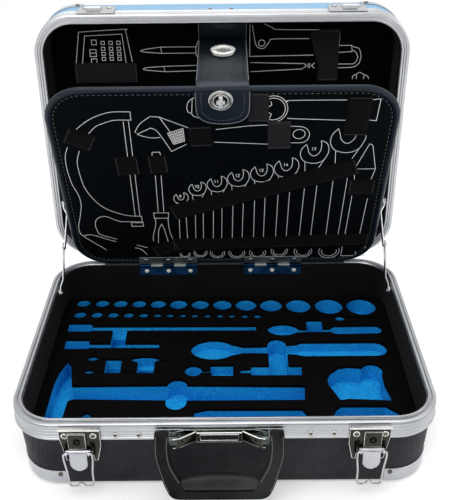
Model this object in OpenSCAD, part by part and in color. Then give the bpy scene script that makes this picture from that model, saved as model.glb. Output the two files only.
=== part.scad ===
// Hard tool case: two aluminium-framed ABS half shells, a cut foam tray,
// a hinged tool board held by a strap, folding lid stays and two draw latches.
// Right-handed frame in millimetres: X to the right, Y to the back, Z up.
// The origin is on the underside, at the middle of the footprint.

/* [Case] */
// Outside width over the aluminium frames
case_w = 460; // [420:5:500]
// Outside depth over the aluminium frames
case_d = 330; // [300:5:360]
// Corner radius of the frames
corner_r = 50; // [40:1:60]
// Base height from underside to mating face
base_h = 92; // [80:1:110]
// Lid height from mating face to outside
lid_h = 66; // [50:1:80]
// Height of the outer frame face
frame_h = 20; // [14:1:26]
// Width of the frame across its mating face
frame_t = 11; // [9:0.5:14]
// Wall of the plastic shells
shell_t = 2.5; // [2:0.1:4]
// Angle of the open lid
lid_open = 91; // [85:1:100]

/* [Tool board] */
// Board width over its binding
board_w = 404; // [380:1:410]
// Board height over its binding
board_l = 302; // [280:1:303]
// Forward lean of the open board
board_lean = 19; // [5:1:30]
// Length of one butt hinge
butt_w = 79; // [60:1:90]

/* [Foam tray] */
// Height of the foam's top face
foam_top_z = 50; // [40:1:60]
// Thickness of the dark top layer
foam_skin = 4; // [2:0.5:6]
// Depth of the wells and deep pockets
foam_floor = 25; // [18:1:36]
// Depth of the pockets for long tools
pocket_d = 16; // [10:1:17]

/* [Hardware] */
// Distance from the handle's pivot to its grip's outer edge
handle_l = 67; // [60:1:68]
// Angle of the resting handle from the vertical
handle_tilt = 15; // [10:1:20]
// Side shift of the handle
handle_x = -5.6; // [-8:0.2:8]
// Middle of each latch from the centre
latch_x = 152; // [120:1:170]
// Length of the wire bail
bail_l = 48; // [40:1:55]
// Length of each stay link between its pivots
stay_l = 62.3; // [61:0.1:66]

/* [Hidden] */
zm = base_h;
ax_y = case_d / 2 + 5;          // lid hinge axis
lid_step = lid_h - frame_h - 1.6; // where the lid's wall drops behind its frame
in_x = case_w / 2 - frame_t;    // frame opening, half sizes
in_y = case_d / 2 - frame_t;
in_r = corner_r - frame_t;
bx_y = 150;                     // tool board hinge axis
bx_z = zm - 0.5;
kr = 2.4;                       // butt hinge knuckle radius
hp_y = -176.5;                  // handle pivot
hp_z = 80.5;
lp_y = -171;                    // latch lever pivot
lp_z = 60;
slope_a = atan2(16.6, 40);      // rear lining's slope from the vertical
low_a = [94, 84.6];             // stay pivots, in Y and Z
up_a = [87, zm + 6];            // on the lid, seen closed
foam_r = 135;                   // rear edge of the foam
fine = 48;

// ---------- helpers

// flat rounded rectangle made of plain primitives
module rr2(w, d, r) {
  square([w - 2 * r, d], center = true);
  square([w, d - 2 * r], center = true);
  for (x = [-1, 1], y = [-1, 1])
    translate([x * (w / 2 - r), y * (d / 2 - r)]) circle(r, $fn = fine);
}

module rr_slab(w, d, r, z0, z1) {
  translate([0, 0, z0]) linear_extrude(z1 - z0) rr2(w, d, r);
}

// a 2D section, x measured inwards from the outline and y upwards, swept round
module ring(w, d, r) {
  for (s = [0, 180]) rotate([0, 0, s]) {
    translate([-(w / 2 - r), -d / 2, 0]) rotate([90, 0, 90])
      linear_extrude(w - 2 * r) children();
    translate([w / 2, -(d / 2 - r), 0]) rotate([90, 0, 180])
      linear_extrude(d - 2 * r) children();
    translate([w / 2 - r, d / 2 - r, 0]) rotate_extrude(angle = 90, $fn = fine)
      translate([r, 0]) mirror([1, 0]) children();
    translate([-(w / 2 - r), d / 2 - r, 0]) rotate([0, 0, 90])
      rotate_extrude(angle = 90, $fn = fine) translate([r, 0]) mirror([1, 0]) children();
  }
}

// drafted tub with a soft outer edge: grow > 0 makes it larger all round
module tub(h, grow, floor_z, top_z) {
  w = case_w - 5; d = case_d - 5; r = corner_r - 2.5;
  e = 9;
  lv = [[0, 12.7], [1.2, 9], [4, 6], [8, 4.5], [e, 4.1], [h, 0]];
  hull() for (p = lv) {
    z = p[0] < e ? p[0] - grow : p[0];
    ii = p[1] - grow;
    zz = max(floor_z, z);
    if (z >= floor_z - 0.01 || p[0] == e)
      for (x = [-1, 1], y = [-1, 1])
        translate([x * (w / 2 - r), y * (d / 2 - r), min(zz, top_z - 0.02)])
          cylinder(r = r - ii, h = 0.02, $fn = fine);
  }
}

// the lid's wall swells out below its rim, level with the frame
module lid_tub(grow, floor_z, top_z) {
  lv = [[0, 11.3], [1.2, 6.6], [4, 2.9], [8, 1.1], [12, 0.8], [lid_step, 0.4]];
  hull() for (p = lv) {
    z = max(floor_z, p[0] < 12 ? p[0] - grow : p[0]);
    for (x = [-1, 1], y = [-1, 1])
      translate([x * (case_w / 2 - corner_r), y * (case_d / 2 - corner_r), min(z, top_z - 0.02)])
        cylinder(r = corner_r - p[1] + grow, h = 0.02, $fn = fine);
  }
}

// from the closed lid to the open one, about the lid's hinge
module opened() {
  translate([0, ax_y, zm]) rotate([-lid_open, 0, 0]) translate([0, -ax_y, -zm]) children();
}

// the lid's own up-side-down base position
module as_lid() {
  opened() translate([0, 0, 2 * zm + (lid_h - zm)]) mirror([0, 0, 1]) children();
}

// board coordinates: x across, y up from the hinge axis, z out of the face
module on_board() {
  translate([0, bx_y, bx_z]) rotate([90 + board_lean, 0, 0]) children();
}

// wall coordinates of the sloped rear lining
module on_slope() {
  translate([0, bx_y, bx_z]) rotate([90 - slope_a, 0, 0]) children();
}

module rivet(r, h) {
  cylinder(r = r, h = h * 0.45, $fn = 24);
  translate([0, 0, h * 0.45]) cylinder(r1 = r, r2 = r * 0.55, h = h * 0.55, $fn = 24);
}

// facing the front, standing on the plane Y = y
module front(x, y, z) {
  translate([x, y, z]) rotate([90, 0, 0]) children();
}

module two(x) {
  for (s = [-1, 1]) translate([s * x, 0, 0]) mirror([s > 0 ? 1 : 0, 0, 0]) children();
}

// ---------- shells and frames

module base_shell() color([0.12, 0.12, 0.14]) difference() {
  tub(zm - 1.5, 0, 0, zm - 3);
  tub(zm - 1.5, -shell_t, shell_t, zm - 2);
}

module lid_shell() color([0.1, 0.42, 0.75]) as_lid() difference() {
  union() {
    tub(lid_h - 1.5, 0, 0, lid_h - 3.4);
    lid_tub(0, 0, lid_step);
  }
  tub(lid_h - 1.5, -shell_t, shell_t, lid_h - 2.4);
  lid_tub(-shell_t, shell_t, lid_step - 2.2);
}

// frame section: outer skirt with a stepped lip, gripped rim channel, mating ridges
module frame_section(ridge) {
  h = frame_h; t = frame_t;
  difference() {
    polygon([[0, -h + 2.6], [-0.7, -h + 2.1], [-0.7, -h], [1.6, -h], [1.6, -2.8],
      [t - 1.4, -2.8], [t - 1.4, -9], [t, -9], [t, -0.8], [t - 0.8, 0],
      [t - 1.1, 0], [t - 1.5, ridge > 0 ? ridge : 0], [t - 3.3, ridge > 0 ? ridge : 0],
      [t - 3.7, 0], [t - 5.4, 0], [t - 5.6, -0.9], [t - 6.6, -0.9], [t - 6.8, 0],
      [2.6, 0], [0.9, -0.7], [0, -2.4]]);
    if (ridge < 0)
      polygon([[t - 0.9, 1], [t - 1.2, ridge], [t - 3.6, ridge], [t - 3.9, 1]]);
  }
}

module base_frame() color([0.8, 0.8, 0.82])
  translate([0, 0, zm]) ring(case_w, case_d, corner_r) frame_section(1.5);

module lid_frame() color([0.8, 0.8, 0.82])
  as_lid() translate([0, 0, lid_h - 0.3]) ring(case_w, case_d, corner_r) frame_section(-1.9);

// guard strips wrapped round the lower shell corners
module guards() {
  intersection() {
    difference() {
      children(0);
      children(1);
      translate([-300, -300, -10]) cube([600, 600, 12.2]);
    }
    for (x = [-1, 1], y = [-1, 1])
      translate([x * 204, y * 139, 5.5]) cube([62, 62, 31], center = true);
  }
}

// rivets on the strips, which lie g inside the case's outline
module guard_dots(g) {
  for (x = [-1, 1], y = [-1, 1]) {
    translate([x * 179.5, y * (case_d / 2 - g), 16.2]) rotate([-90 * y, 0, 0]) rivet(2.6, 1.5);
    translate([x * (case_w / 2 - g), y * 114, 16.2]) rotate([0, 90 * x, 0]) rivet(2.6, 1.5);
  }
}

module base_guards() color([0.75, 0.76, 0.78]) guards() {
  tub(zm - 1.5, 1.2, -1.2, zm - 3);
  tub(zm - 1.5, 0.15, -0.15, zm - 3);
}
module lid_guards() color([0.75, 0.76, 0.78]) as_lid() guards() {
  lid_tub(1.2, -1.2, lid_step - 1);
  lid_tub(0.15, -0.15, lid_step - 1);
}
module base_guard_rivets() color([0.6, 0.6, 0.6]) guard_dots(4.84);
module lid_guard_rivets() color([0.6, 0.6, 0.6]) as_lid() guard_dots(-0.65);

// rivets of the base frame and of the handle's bracket
module front_rivets() color([0.6, 0.6, 0.6]) {
  for (x = [-114.5, -90, 90, 114.5]) front(x, -case_d / 2, zm - 14) rivet(2.5, 1.3);
  for (x = [-13, 13]) front(handle_x + x, -case_d / 2 - 4.2, 79.5) rivet(2.6, 1.2);
}

// ---------- linings and boards

module lining_wall(z0, z1) {
  difference() {
    rr_slab(2 * in_x + 2.4, 2 * in_y + 2.4, in_r + 1.2, z0, z1);
    rr_slab(2 * in_x - 1.6, 2 * in_y - 1.6, in_r - 0.8, z0 - 1, z1 + 1);
  }
}

module base_lining() color([0.15, 0.15, 0.16]) lining_wall(14.6, zm - 9.3);

// padded wedge that leans back from the foam to the board hinge
module rear_lining() color([0.13, 0.13, 0.14])
  intersection() {
    rr_slab(2 * in_x - 2, 2 * in_y - 2, in_r - 1, 0, zm);
    translate([-in_x, 0, 0]) rotate([90, 0, 90]) linear_extrude(2 * in_x)
      polygon([[foam_r + 0.4, 14.6], [in_y + 1, 14.6], [in_y + 1, zm - 2.4], [152.1, zm - 2.4],
        [foam_r + 0.4, foam_top_z - 0.6]]);
  }

module lid_lining() color([0.15, 0.15, 0.16])
  as_lid() lining_wall(lid_h - 45.5, lid_h - 9.6);

module lid_backing() color([0.1, 0.1, 0.1])
  as_lid() {
    rr_slab(2 * in_x - 2, 2 * in_y - 2, in_r - 1, 8.6, lid_h - 49.1);
    rr_slab(2 * in_x - 32, 2 * in_y - 32, in_r - 12, shell_t + 0.2, 8.6);
  }

module back_board() color([0.08, 0.08, 0.09])
  as_lid() rr_slab(2 * in_x - 2, 2 * in_y - 2, in_r - 1, lid_h - 49, lid_h - 46);

module band(w, l, t, a) {
  rotate([0, 0, a]) translate([0, 0, t / 2]) cube([w, l, t], center = true);
}

module back_bands() color([0.2, 0.2, 0.22])
  as_lid() translate([0, 0, lid_h - 46]) {
    // across the open lid: y is minus the height above the mating line
    translate([-150, ax_y - 250.5]) band(80, 26, 1.6, 0);
    translate([113.5, ax_y - 268]) band(11, 60, 1.6, 0);
    translate([136, ax_y - 268]) band(26, 62, 1.6, 0);
  }

module front_board() color([0.07, 0.08, 0.09])
  on_board() translate([0, board_l / 2 + 0.8, -kr - 4.7]) linear_extrude(4.2)
    rr2(board_w - 2, board_l - 3.6, 46);

module board_binding() color([0.2, 0.21, 0.24])
  on_board() translate([0, board_l / 2 + 0.8, -kr - 2.6])
    ring(board_w, board_l - 1.6, 47)
      difference() {
        polygon([[0, -1.8], [0.9, -2.9], [7, -2.9], [7, 2.6], [0.9, 2.6], [0, 1.6]]);
        translate([0.9, -2.15]) square([7, 4.3]);
      }

module board_bands() color([0.2, 0.2, 0.22])
  on_board() translate([0, 0, -kr - 0.5]) {
    translate([-166.3, 229.4]) band(33, 25, 1.8, -25);
    translate([-115, 186.4]) band(27.5, 30, 1.8, 3);
    translate([-77.9, 188.4]) band(22.5, 29, 1.8, 4);
    translate([-25.2, 232.5]) band(26, 30, 1.8, 3);
    translate([40.8, 274.3]) band(22.5, 40, 1.8, -1);
    translate([65.4, 233.2]) band(26.5, 41, 1.8, 1.5);
    translate([153.3, 260.2]) band(27, 56, 1.8, -1);
    translate([171, 147.5]) band(31.5, 25.5, 1.8, 0);
    // two long ones for the spanners; the lower one droops at its left end
    translate([47.7, 143.2]) band(240, 26, 1.8, 19.2);
    translate([61.8, 45.2]) band(259.5, 22, 1.8, 2);
    translate([-78, 33]) band(34, 20, 1.8, 22.6);
  }

// ---------- foam tray

module outline2(y0, y1, hw, rf, rb) {
  hull() {
    for (x = [-1, 1]) {
      translate([x * (hw - rf), y0 + rf]) circle(rf, $fn = fine);
      translate([x * (hw - rb), y1 - rb]) circle(rb, $fn = fine);
    }
  }
}

function row1() = [[-193.5, 122.4, 19.3], [-167.7, 121.6, 19.3], [-142.6, 120.8, 20],
  [-117, 120, 20], [-91, 119, 22], [-63, 118, 24.4], [-33.3, 117, 24.4], [-3, 116, 26],
  [29.2, 114.8, 28.6], [63.1, 113.4, 30.6], [100.3, 112, 34], [141.5, 110.4, 38],
  [185.2, 108.8, 40]];
function row2() = [[-194.1, 95.2, 17.4], [-171.7, 94.6, 16.2], [-149.6, 94, 15.4],
  [-128.8, 93.4, 14.2], [-108.9, 92.8, 13.2], [-90, 92.2, 11], [-73.1, 91.7, 10.6],
  [-56.1, 91.2, 10.2], [-40.1, 90.7, 10], [-23.2, 90.2, 10], [-6.2, 89.7, 10],
  [9.7, 89.2, 10], [26.7, 88.7, 10], [43.5, 88.2, 10.6]];

module well(p) { translate([p[0], p[1]]) circle(d = p[2], $fn = p[2] > 12 ? 32 : 16); }

// long pocket: square or round ended bar between two points
module bar(x0, y0, x1, y1, w, rnd) {
  l = norm([x1 - x0, y1 - y0]);
  translate([x0, y0]) rotate(atan2(y1 - y0, x1 - x0)) {
    translate([0, -w / 2]) square([l, w]);
    if (rnd) for (x = [0, l]) translate([x, 0]) circle(d = w, $fn = 24);
  }
}

module oval(x, y, w, h) { translate([x, y]) scale([w / h, 1]) circle(d = h, $fn = 32); }

module sockets2() { for (p = row1()) well(p); for (p = row2()) well(p); }

// shallow pockets for the long tools
module tools2() {
  // extension bars with their wide heads
  polygon([[-205, 56], [-173, 56], [-173, 57.4], [41, 55], [41, 67], [-174, 69], [-175, 75.5],
    [-206, 76]]);
  polygon([[-203.5, 19], [-172, 19], [-172, 20.6], [-83, 19.5], [-83.5, 30.6], [-173, 31.8],
    [-173.5, 39.6], [-204.2, 40]]);
  // screwdriver bits and drivers
  oval(-164, 0, 13, 10.5);
  bar(-158, -2.3, -123, -2.6, 3, false);
  oval(-165, -25.6, 13, 8.6);
  bar(-159, -27.6, -73, -28.6, 2.6, false);
  oval(-98.5, -2.8, 37, 13);
  bar(-81, -6.2, -71, -6.4, 3, false);
  // ratchets
  oval(-14, 15.8, 57, 41);
  polygon([[4, 2], [24, 7.4], [54, 6.8], [94, 3.4], [96, 27.4], [54, 23.4], [24, 22.4], [4, 30]]);
  bar(100, 15.4, 189, 15.2, 30, true);
  oval(76, 57.2, 41, 26);
  polygon([[86, 47.8], [100, 50.6], [138, 50.4], [138, 59.8], [100, 58.6], [86, 66]]);
  bar(146, 55.6, 195, 56.2, 19.4, true);
  // universal joint and spinner
  oval(-38, -25.4, 21.5, 21.5);
  polygon([[-30, -29.6], [-16, -29.6], [-17, -36], [10, -36], [10, -14.6], [-17.4, -14.4],
    [-17.4, -24], [-30, -24.4]]);
  polygon([[18.4, -31.2], [31.6, -31.2], [31.6, -35.6], [93, -36], [94, -16.8], [32, -16.2],
    [32, -22], [18.6, -23]]);
}

// slim tool with its middle finger spot
module slim_tool() {
  bar(97, 83.6, 205, 82.4, 5, false);
  oval(152.6, 81.8, 13, 12.6);
}

// deep pockets: hammer, tape and pliers
module deep2() {
  polygon([[-194.7, -4], [-188.6, -13], [-181.6, -51], [-69, -50.8], [94.6, -54.6],
    [92.6, -80.4], [-44, -80.2], [-177, -76.4], [-182, -80], [-183.2, -106], [-185, -126],
    [-206, -126], [-204.6, -103], [-204, -46], [-201, -25]]);
  // tape measure with its thumb scoop
  polygon([[143, -79.4], [136.3, -81], [132.9, -80.3], [126.8, -63.8], [122.8, -54.8],
    [122.3, -43.2], [127, -31.7], [138.8, -21.2], [151.3, -18.9], [165, -21], [189.6, -30],
    [189.2, -55.6], [192.6, -73.4], [192.4, -83.1], [184.6, -82]]);
  translate([178.4, -27]) circle(13, $fn = 32);
  // pliers, jaws to the left and handles to the right
  polygon([[-35.3, -98], [-20.4, -94], [88, -95], [98, -112], [88, -128], [-20, -122],
    [-35, -112]]);
  polygon([[127, -95.5], [133, -90], [184.2, -90.5], [203, -108], [204, -118], [132, -122],
    [120, -112]]);
  oval(-157, -112, 14, 27);
}

// finger spaces, deeper than the pockets they join
module fingers2() {
  translate([-146, 24]) square([19, 34]);
  translate([-147, -29]) square([20, 27]);
  translate([-107.3, -29.5]) square([21, 24]);
  translate([107.2, 54]) square([21, 24.4]);
  translate([54.2, -33]) square([24, 58]);
  translate([66.2, 26]) circle(12, $fn = 32);
  translate([-68.6, -83]) square([24.4, 30]);
  translate([-56.4, -53]) circle(12.2, $fn = 24);
  translate([-56.4, -83.4]) circle(12.2, $fn = 24);
}

module foam_plan() { outline2(-in_y + 1.4, foam_r, in_x - 1.4, in_r - 1.4, 28); }

// joint lines between the four cut blocks, from left to right
line_wells = [[-230, 109.6], [60, 94.9], [150, 90.1], [184, 87.1], [230, 86.8]];
line_small = [[-230, 79.4], [134, 79.1], [143, 70.4], [162, 70.4], [171, 79], [230, 79]];
line_front = [[-230, 8], [-180, 8], [-176, -38.6], [108, -38.6], [116, -12], [230, -12]];

module area_over(line) { polygon(concat(line, [[230, 200], [-230, 200]])); }

module foam_block() {
  z0 = foam_top_z - foam_floor;
  z1 = foam_top_z - foam_skin;
  difference() {
    translate([0, 0, z0]) linear_extrude(z1 - z0) intersection() { foam_plan(); children(0); }
    translate([0, 0, z0 - 1]) linear_extrude(50) children(1);
  }
}

// uncut slab under the blocks
module foam_base() color([0.05, 0.45, 0.85]) {
  translate([0, 0, 8.2]) linear_extrude(foam_top_z - foam_floor - 8.2) foam_plan();
  rr_slab(2 * in_x - 36, 250, 20, shell_t + 0.2, 8.2);
}

module foam_wells() color([0.05, 0.45, 0.85]) foam_block() {
  area_over(line_wells);
  for (p = row1()) well(p);
}

module foam_small() color([0.05, 0.45, 0.85]) foam_block() {
  difference() { area_over(line_small); area_over(line_wells); }
  union() { for (p = row2()) well(p); slim_tool(); }
}

module foam_tools() color([0.05, 0.45, 0.85]) difference() {
  foam_block() {
    difference() { area_over(line_front); area_over(line_small); }
    fingers2();
  }
  translate([0, 0, foam_top_z - pocket_d]) linear_extrude(50) tools2();
}

// three inserts side by side
front_cuts = [-230, -56.4, 109, 230];

module foam_front() color([0.05, 0.45, 0.85])
  for (k = [0:2]) foam_block() {
    difference() {
      translate([front_cuts[k] + 0.05, -200]) square([front_cuts[k + 1] - front_cuts[k] - 0.1, 400]);
      area_over(line_front);
    }
    union() { deep2(); fingers2(); }
  }

module foam_top() color([0.06, 0.06, 0.07])
  translate([0, 0, foam_top_z - foam_skin]) linear_extrude(foam_skin) difference() {
    foam_plan();
    sockets2(); slim_tool(); tools2(); deep2(); fingers2();
  }

// ---------- handle

module mount_plate() color([0.7, 0.7, 0.72])
  front(handle_x, -case_d / 2 - 1, 0) linear_extrude(1) difference() {
    polygon([[-51.2, 74.5], [51.2, 74.5], [51.2, 82], [36, 86.5], [-36, 86.5], [-51.2, 82]]);
    translate([-46, 78]) square([92, 2.6]);
  }

// half of the bent strip, seen from above
module half_strip() {
  polygon([[-1, -168.8], [24, -168.8], [40.5, -179], [45.4, -180.4], [45.4, -176],
    [41.4, -176.4], [24.6, -167.2], [-1, -167.2]]);
}

module handle_bracket() color([0.7, 0.7, 0.72]) translate([handle_x, 0, 0]) difference() {
  union() {
    // bent strip, flat on the frame between the ears
    translate([0, 0, 72.6]) linear_extrude(12.4) for (m = [0, 1]) mirror([m, 0]) half_strip();
    // raised middle
    front(0, -case_d / 2 - 3.6, 0) linear_extrude(2.4)
      polygon([[-23, 73], [23, 73], [24, 84.6], [-24, 84.6]]);
    for (x = [-1, 1]) translate([x * 47.2 - 4.2, hp_y, hp_z]) rotate([0, 90, 0])
      cylinder(r = 5, h = 8.4, $fn = 32);
  }
  // recess of the two rivets
  front(0, -case_d / 2 - 4.2, 0) linear_extrude(3)
    polygon([[-19, 75.6], [19, 75.6], [20, 83], [-20, 83]]);
  translate([-60, hp_y, hp_z]) rotate([0, 90, 0]) cylinder(r = 2.1, h = 120, $fn = 24);
}

module handle_pins() color([0.65, 0.65, 0.67])
  for (x = [-1, 1]) translate([handle_x + x * 54 - 11, hp_y, hp_z]) rotate([0, 90, 0])
    cylinder(r = 2, h = 22, $fn = 24);

// in the handle's plane: x across, y down from the pivot, z outwards
module in_handle() {
  translate([handle_x, hp_y, hp_z]) rotate([-90 - handle_tilt + 180, 0, 0])
    mirror([0, 1, 0]) children();
}

module half_outline() {
  // outer side, then the underside and the inner side
  polygon([[52, -8.6], [65.4, -8.6], [66.8, -7.4], [67.4, -1], [67.6, 8], [67, 18.5],
    [65, 26.5], [61.5, 38.5], [58.5, 48.5], [54.4, 58.6], [51, 63.6], [45.5, handle_l - 0.6],
    [36, handle_l], [0, handle_l], [0, 57.4], [36.4, 57.4], [36.4, 53], [41, 45.5], [45, 38.5],
    [49.3, 29.5], [51.8, 21.5], [52.8, 13.6], [53, 4.6]]);
}

module handle() color([0.07, 0.07, 0.08]) in_handle() {
  difference() {
    translate([0, 0, -4.6]) linear_extrude(9.2) {
      half_outline();
      mirror([1, 0]) half_outline();
    }
    // pivot bore through both arms
    translate([-66.2, 0, 0]) rotate([0, 90, 0]) cylinder(r = 2.15, h = 132.4, $fn = 24);
    // grooves along the arms
    for (s = [-1, 1]) {
      translate([s * 62.6 - 0.5, 4, 3.7]) cube([1, 24, 2]);
      translate([s * 56.6 - 0.5, 4, 3.7]) cube([1, 22, 2]);
    }
  }
  // square core through the grip
  translate([-40, 45.6, -3]) cube([80, 6.4, 6]);
}

module handle_grip() color([0.06, 0.06, 0.07]) in_handle() difference() {
  hull() {
    translate([-36.2, 48.6, 0]) rotate([0, 90, 0]) scale([0.84, 1, 1])
      cylinder(r = 8.5, h = 72.4, $fn = 32);
    translate([-22, 47.8, 0.3]) rotate([0, 90, 0]) scale([0.86, 1, 1])
      cylinder(r = 9.5, h = 44, $fn = 32);
  }
  translate([-41, 45.5, -3.1]) cube([82, 6.6, 6.2]);
}

// ---------- latches; each is drawn for the left one about its own middle

module latch_plates() color([0.66, 0.66, 0.68]) two(latch_x) {
  y = -case_d / 2 - 0.9;
  front(0, y, 0) linear_extrude(1.3) polygon([[-21, 87], [21.4, 87], [21.6, 66], [17, 45],
    [14, 44.4], [13, 52], [-12, 52], [-13.4, 44.4], [-16, 45], [-21, 76]]);
  front(0, y, 0) linear_extrude(3.4) translate([-22, 86.6]) square([44, 2.8]);
  // lock case with the key opening
  difference() {
    front(-2.6, y - 1.2, 0) linear_extrude(4) translate([-9, 64]) square([18, 20]);
    front(-2.6, y + 2, 73.5) cylinder(r = 4.15, h = 10, $fn = 24);
  }
  // packing between the plate and the shell, below the frame
  front(0, y + 4, 0) linear_extrude(4.4) translate([-11, 53]) square([22, 18.4]);
  // ears for the lever's pin
  for (x = [-17.2, 11.2]) difference() {
    union() {
      translate([x, lp_y, lp_z - 2.6]) cube([1.6, y - lp_y, 5.2]);
      translate([x, lp_y, lp_z]) rotate([0, 90, 0]) cylinder(r = 2.6, h = 1.6, $fn = 24);
    }
    translate([x - 1, lp_y, lp_z]) rotate([0, 90, 0]) cylinder(r = 1.3, h = 4, $fn = 16);
  }
}

module latch_rivets() color([0.6, 0.6, 0.6]) two(latch_x)
  for (x = [-15.4, 14.4]) front(x, -case_d / 2 - 2.2, 79) rivet(3.6, 1.5);

module latch_pins() color([0.62, 0.62, 0.64]) two(latch_x)
  translate([-17.5, lp_y, lp_z]) rotate([0, 90, 0]) cylinder(r = 1.2, h = 30.6, $fn = 16);

module lock() {
  difference() {
    front(-2.6, -case_d / 2 - 2.3, 73.5) cylinder(r = 4, h = 4.4, $fn = 32);
    front(-2.6, -case_d / 2 - 4.6, 73.5) cylinder(r = 1.5, h = 10, $fn = 16);
    front(-2.6 - 0.7, -case_d / 2 - 4.6, 70.2) cube([1.4, 3, 10]);
  }
}
module lock_l() color([0.55, 0.55, 0.57]) translate([-latch_x, 0, 0]) lock();
module lock_r() color([0.55, 0.55, 0.57]) translate([latch_x, 0, 0]) mirror([1, 0, 0]) lock();

// finger tongue with the sockets of the bail
module lever() translate([-2.2, lp_y, lp_z]) difference() {
  union() {
    rotate([0, 90, 0]) translate([0, 0, -11]) cylinder(r = 2.9, h = 22, $fn = 24);
    // tongue section, gently bowed outwards
    intersection() {
      translate([-9.4, 0, 0]) rotate([90, 0, 90]) linear_extrude(18.8)
        polygon([[-1.6, 1], [1.6, 1], [-0.6, -10], [-1.4, -20], [-1.2, -29.4], [-2.8, -29.8],
          [-3.8, -21], [-3.4, -10], [-2.8, -2]]);
      rotate([90, 0, 0]) linear_extrude(30, center = true) {
        translate([-9.4, -20.6]) square([18.8, 30]);
        translate([0, -20.6]) circle(9.4, $fn = 48);
      }
    }
    // bail knuckles on both sides
    for (x = [-13, 10.6]) hull() {
      translate([x, 0, 0]) rotate([0, 90, 0]) cylinder(r = 2.4, h = 2.2, $fn = 16);
      translate([x, -4.6, 1.4]) rotate([0, 90, 0]) cylinder(r = 2.1, h = 2.2, $fn = 16);
    }
  }
  rotate([0, 90, 0]) translate([0, 0, -20]) cylinder(r = 1.32, h = 40, $fn = 16);
  for (x = [-14, 9.6]) translate([x, -4.6, 1.4]) rotate([0, 90, 0])
    cylinder(r = 1.3, h = 6, $fn = 16);
}
module lever_l() color([0.8, 0.81, 0.84]) translate([-latch_x, 0, 0]) lever();
module lever_r() color([0.8, 0.81, 0.84]) translate([latch_x, 0, 0]) mirror([1, 0, 0]) lever();

// round wire along a flat path in X and Z, mitred at each bend
module wire(p, r, n) {
  m = len(p);
  dir = [for (i = [0:m - 2]) (p[i + 1] - p[i]) / norm(p[i + 1] - p[i])];
  side = [for (i = [0:m - 1]) let (a = dir[max(0, i - 1)], b = dir[min(m - 2, i)],
    t = (a + b) / norm(a + b)) [-t[1], t[0]] / sqrt((1 + a * b) / 2)];
  polyhedron(
    points = [for (i = [0:m - 1], k = [0:n - 1]) let (c = r * cos(360 * k / n), q = r * sin(360 * k / n))
      [p[i][0] + side[i][0] * c, q, p[i][1] + side[i][1] * c]],
    faces = concat([[for (k = [0:n - 1]) k]], [[for (k = [n - 1:-1:0]) (m - 1) * n + k]],
      [for (i = [0:m - 2], k = [0:n - 1]) [i * n + k, (i + 1) * n + k,
        (i + 1) * n + (k + 1) % n, i * n + (k + 1) % n]]));
}

function arc2(c, r, a0, a1, n) = [for (i = [0:n]) let (a = a0 + (a1 - a0) * i / n)
  [c[0] + r * cos(a), c[1] + r * sin(a)]];

// wire bail, hanging: two inturned ends and a kinked lower run
module bail() translate([-2.2, lp_y - 4.6, lp_z + 1.4]) rotate([1.6, 0, 0]) {
  w = 15.2; L = bail_l;
  half = concat([[-11.2, 0]], arc2([-13.2, -2], 2, 90, 180, 3), [[-w, -9], [-13.4, -26]], arc2([-9.4, -L + 3.6], 3.6, 190, 268, 4),
    [[-6.4, -L], [-3.6, -L + 0.8], [-1.2, -L + 4.2], [0, -L + 4.6]]);
  m = len(half);
  wire(concat(half, [for (i = [m - 2:-1:0]) [-half[i][0], half[i][1]]]), 1.15, 12);
}
module bail_l() color([0.7, 0.7, 0.72]) translate([-latch_x, 0, 0]) bail();
module bail_r() color([0.7, 0.7, 0.72]) translate([latch_x, 0, 0]) mirror([1, 0, 0]) bail();

// catch plate on the lid's front with its raised hook
module catches() color([0.72, 0.72, 0.74]) opened() two(latch_x) {
  y = -case_d / 2 - 0.9;
  front(0, y, zm) linear_extrude(1.3) polygon([[-23, 3], [23, 3], [22.4, 30], [17, 38],
    [-17, 38], [-22.4, 30]]);
  front(0, -case_d / 2 + 0.3, zm) linear_extrude(1.6) translate([-16, 22]) square([32, 12]);
  translate([-11, y - 1.2, zm]) rotate([90, 0, 90]) linear_extrude(17.4)
    polygon([[0.2, 9], [-4.6, 9], [-5.6, 10.4], [-5.6, 15.6], [-3.8, 15.6], [-3.6, 12.4],
      [-2.4, 11.4], [-1.4, 30], [0.2, 30]]);
}

module catch_rivets() color([0.6, 0.6, 0.6]) opened() two(latch_x)
  for (x = [-15, 15]) front(x, -case_d / 2 - 2.2, zm + 26) rivet(3, 1.4);

module strap_rivets() color([0.6, 0.6, 0.6]) opened()
  for (x = [-14, 12]) front(x, -case_d / 2 + 0.35, zm + 25) rivet(2.6, 1.4);

// ---------- strap and turn lock

// side view of the strap, Y and Z, from the lid's front wall to the board's face
strap_path = [[183.5, 413.2], [186, 404], [192, 394.5], [198, 390.8], [188, 389.4],
  [150, 386.2], [112, 381.6], [90, 380.4], [62, 381.8], [55.5, 381.8], [51.8, 380.2],
  [50.9, 377.6], [51.2, 376.2]];

// flat band along a path, mitred at each bend
module ribbon(p, t) {
  m = len(p);
  dir = [for (i = [0:m - 2]) (p[i + 1] - p[i]) / norm(p[i + 1] - p[i])];
  side = [for (i = [0:m - 1]) let (a = dir[max(0, i - 1)], b = dir[min(m - 2, i)],
    u = (a + b) / norm(a + b)) [-u[1], u[0]] / sqrt((1 + a * b) / 2)];
  polygon(concat([for (i = [0:m - 1]) p[i] + side[i] * t / 2],
    [for (i = [m - 1:-1:0]) p[i] - side[i] * t / 2]));
}

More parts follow.
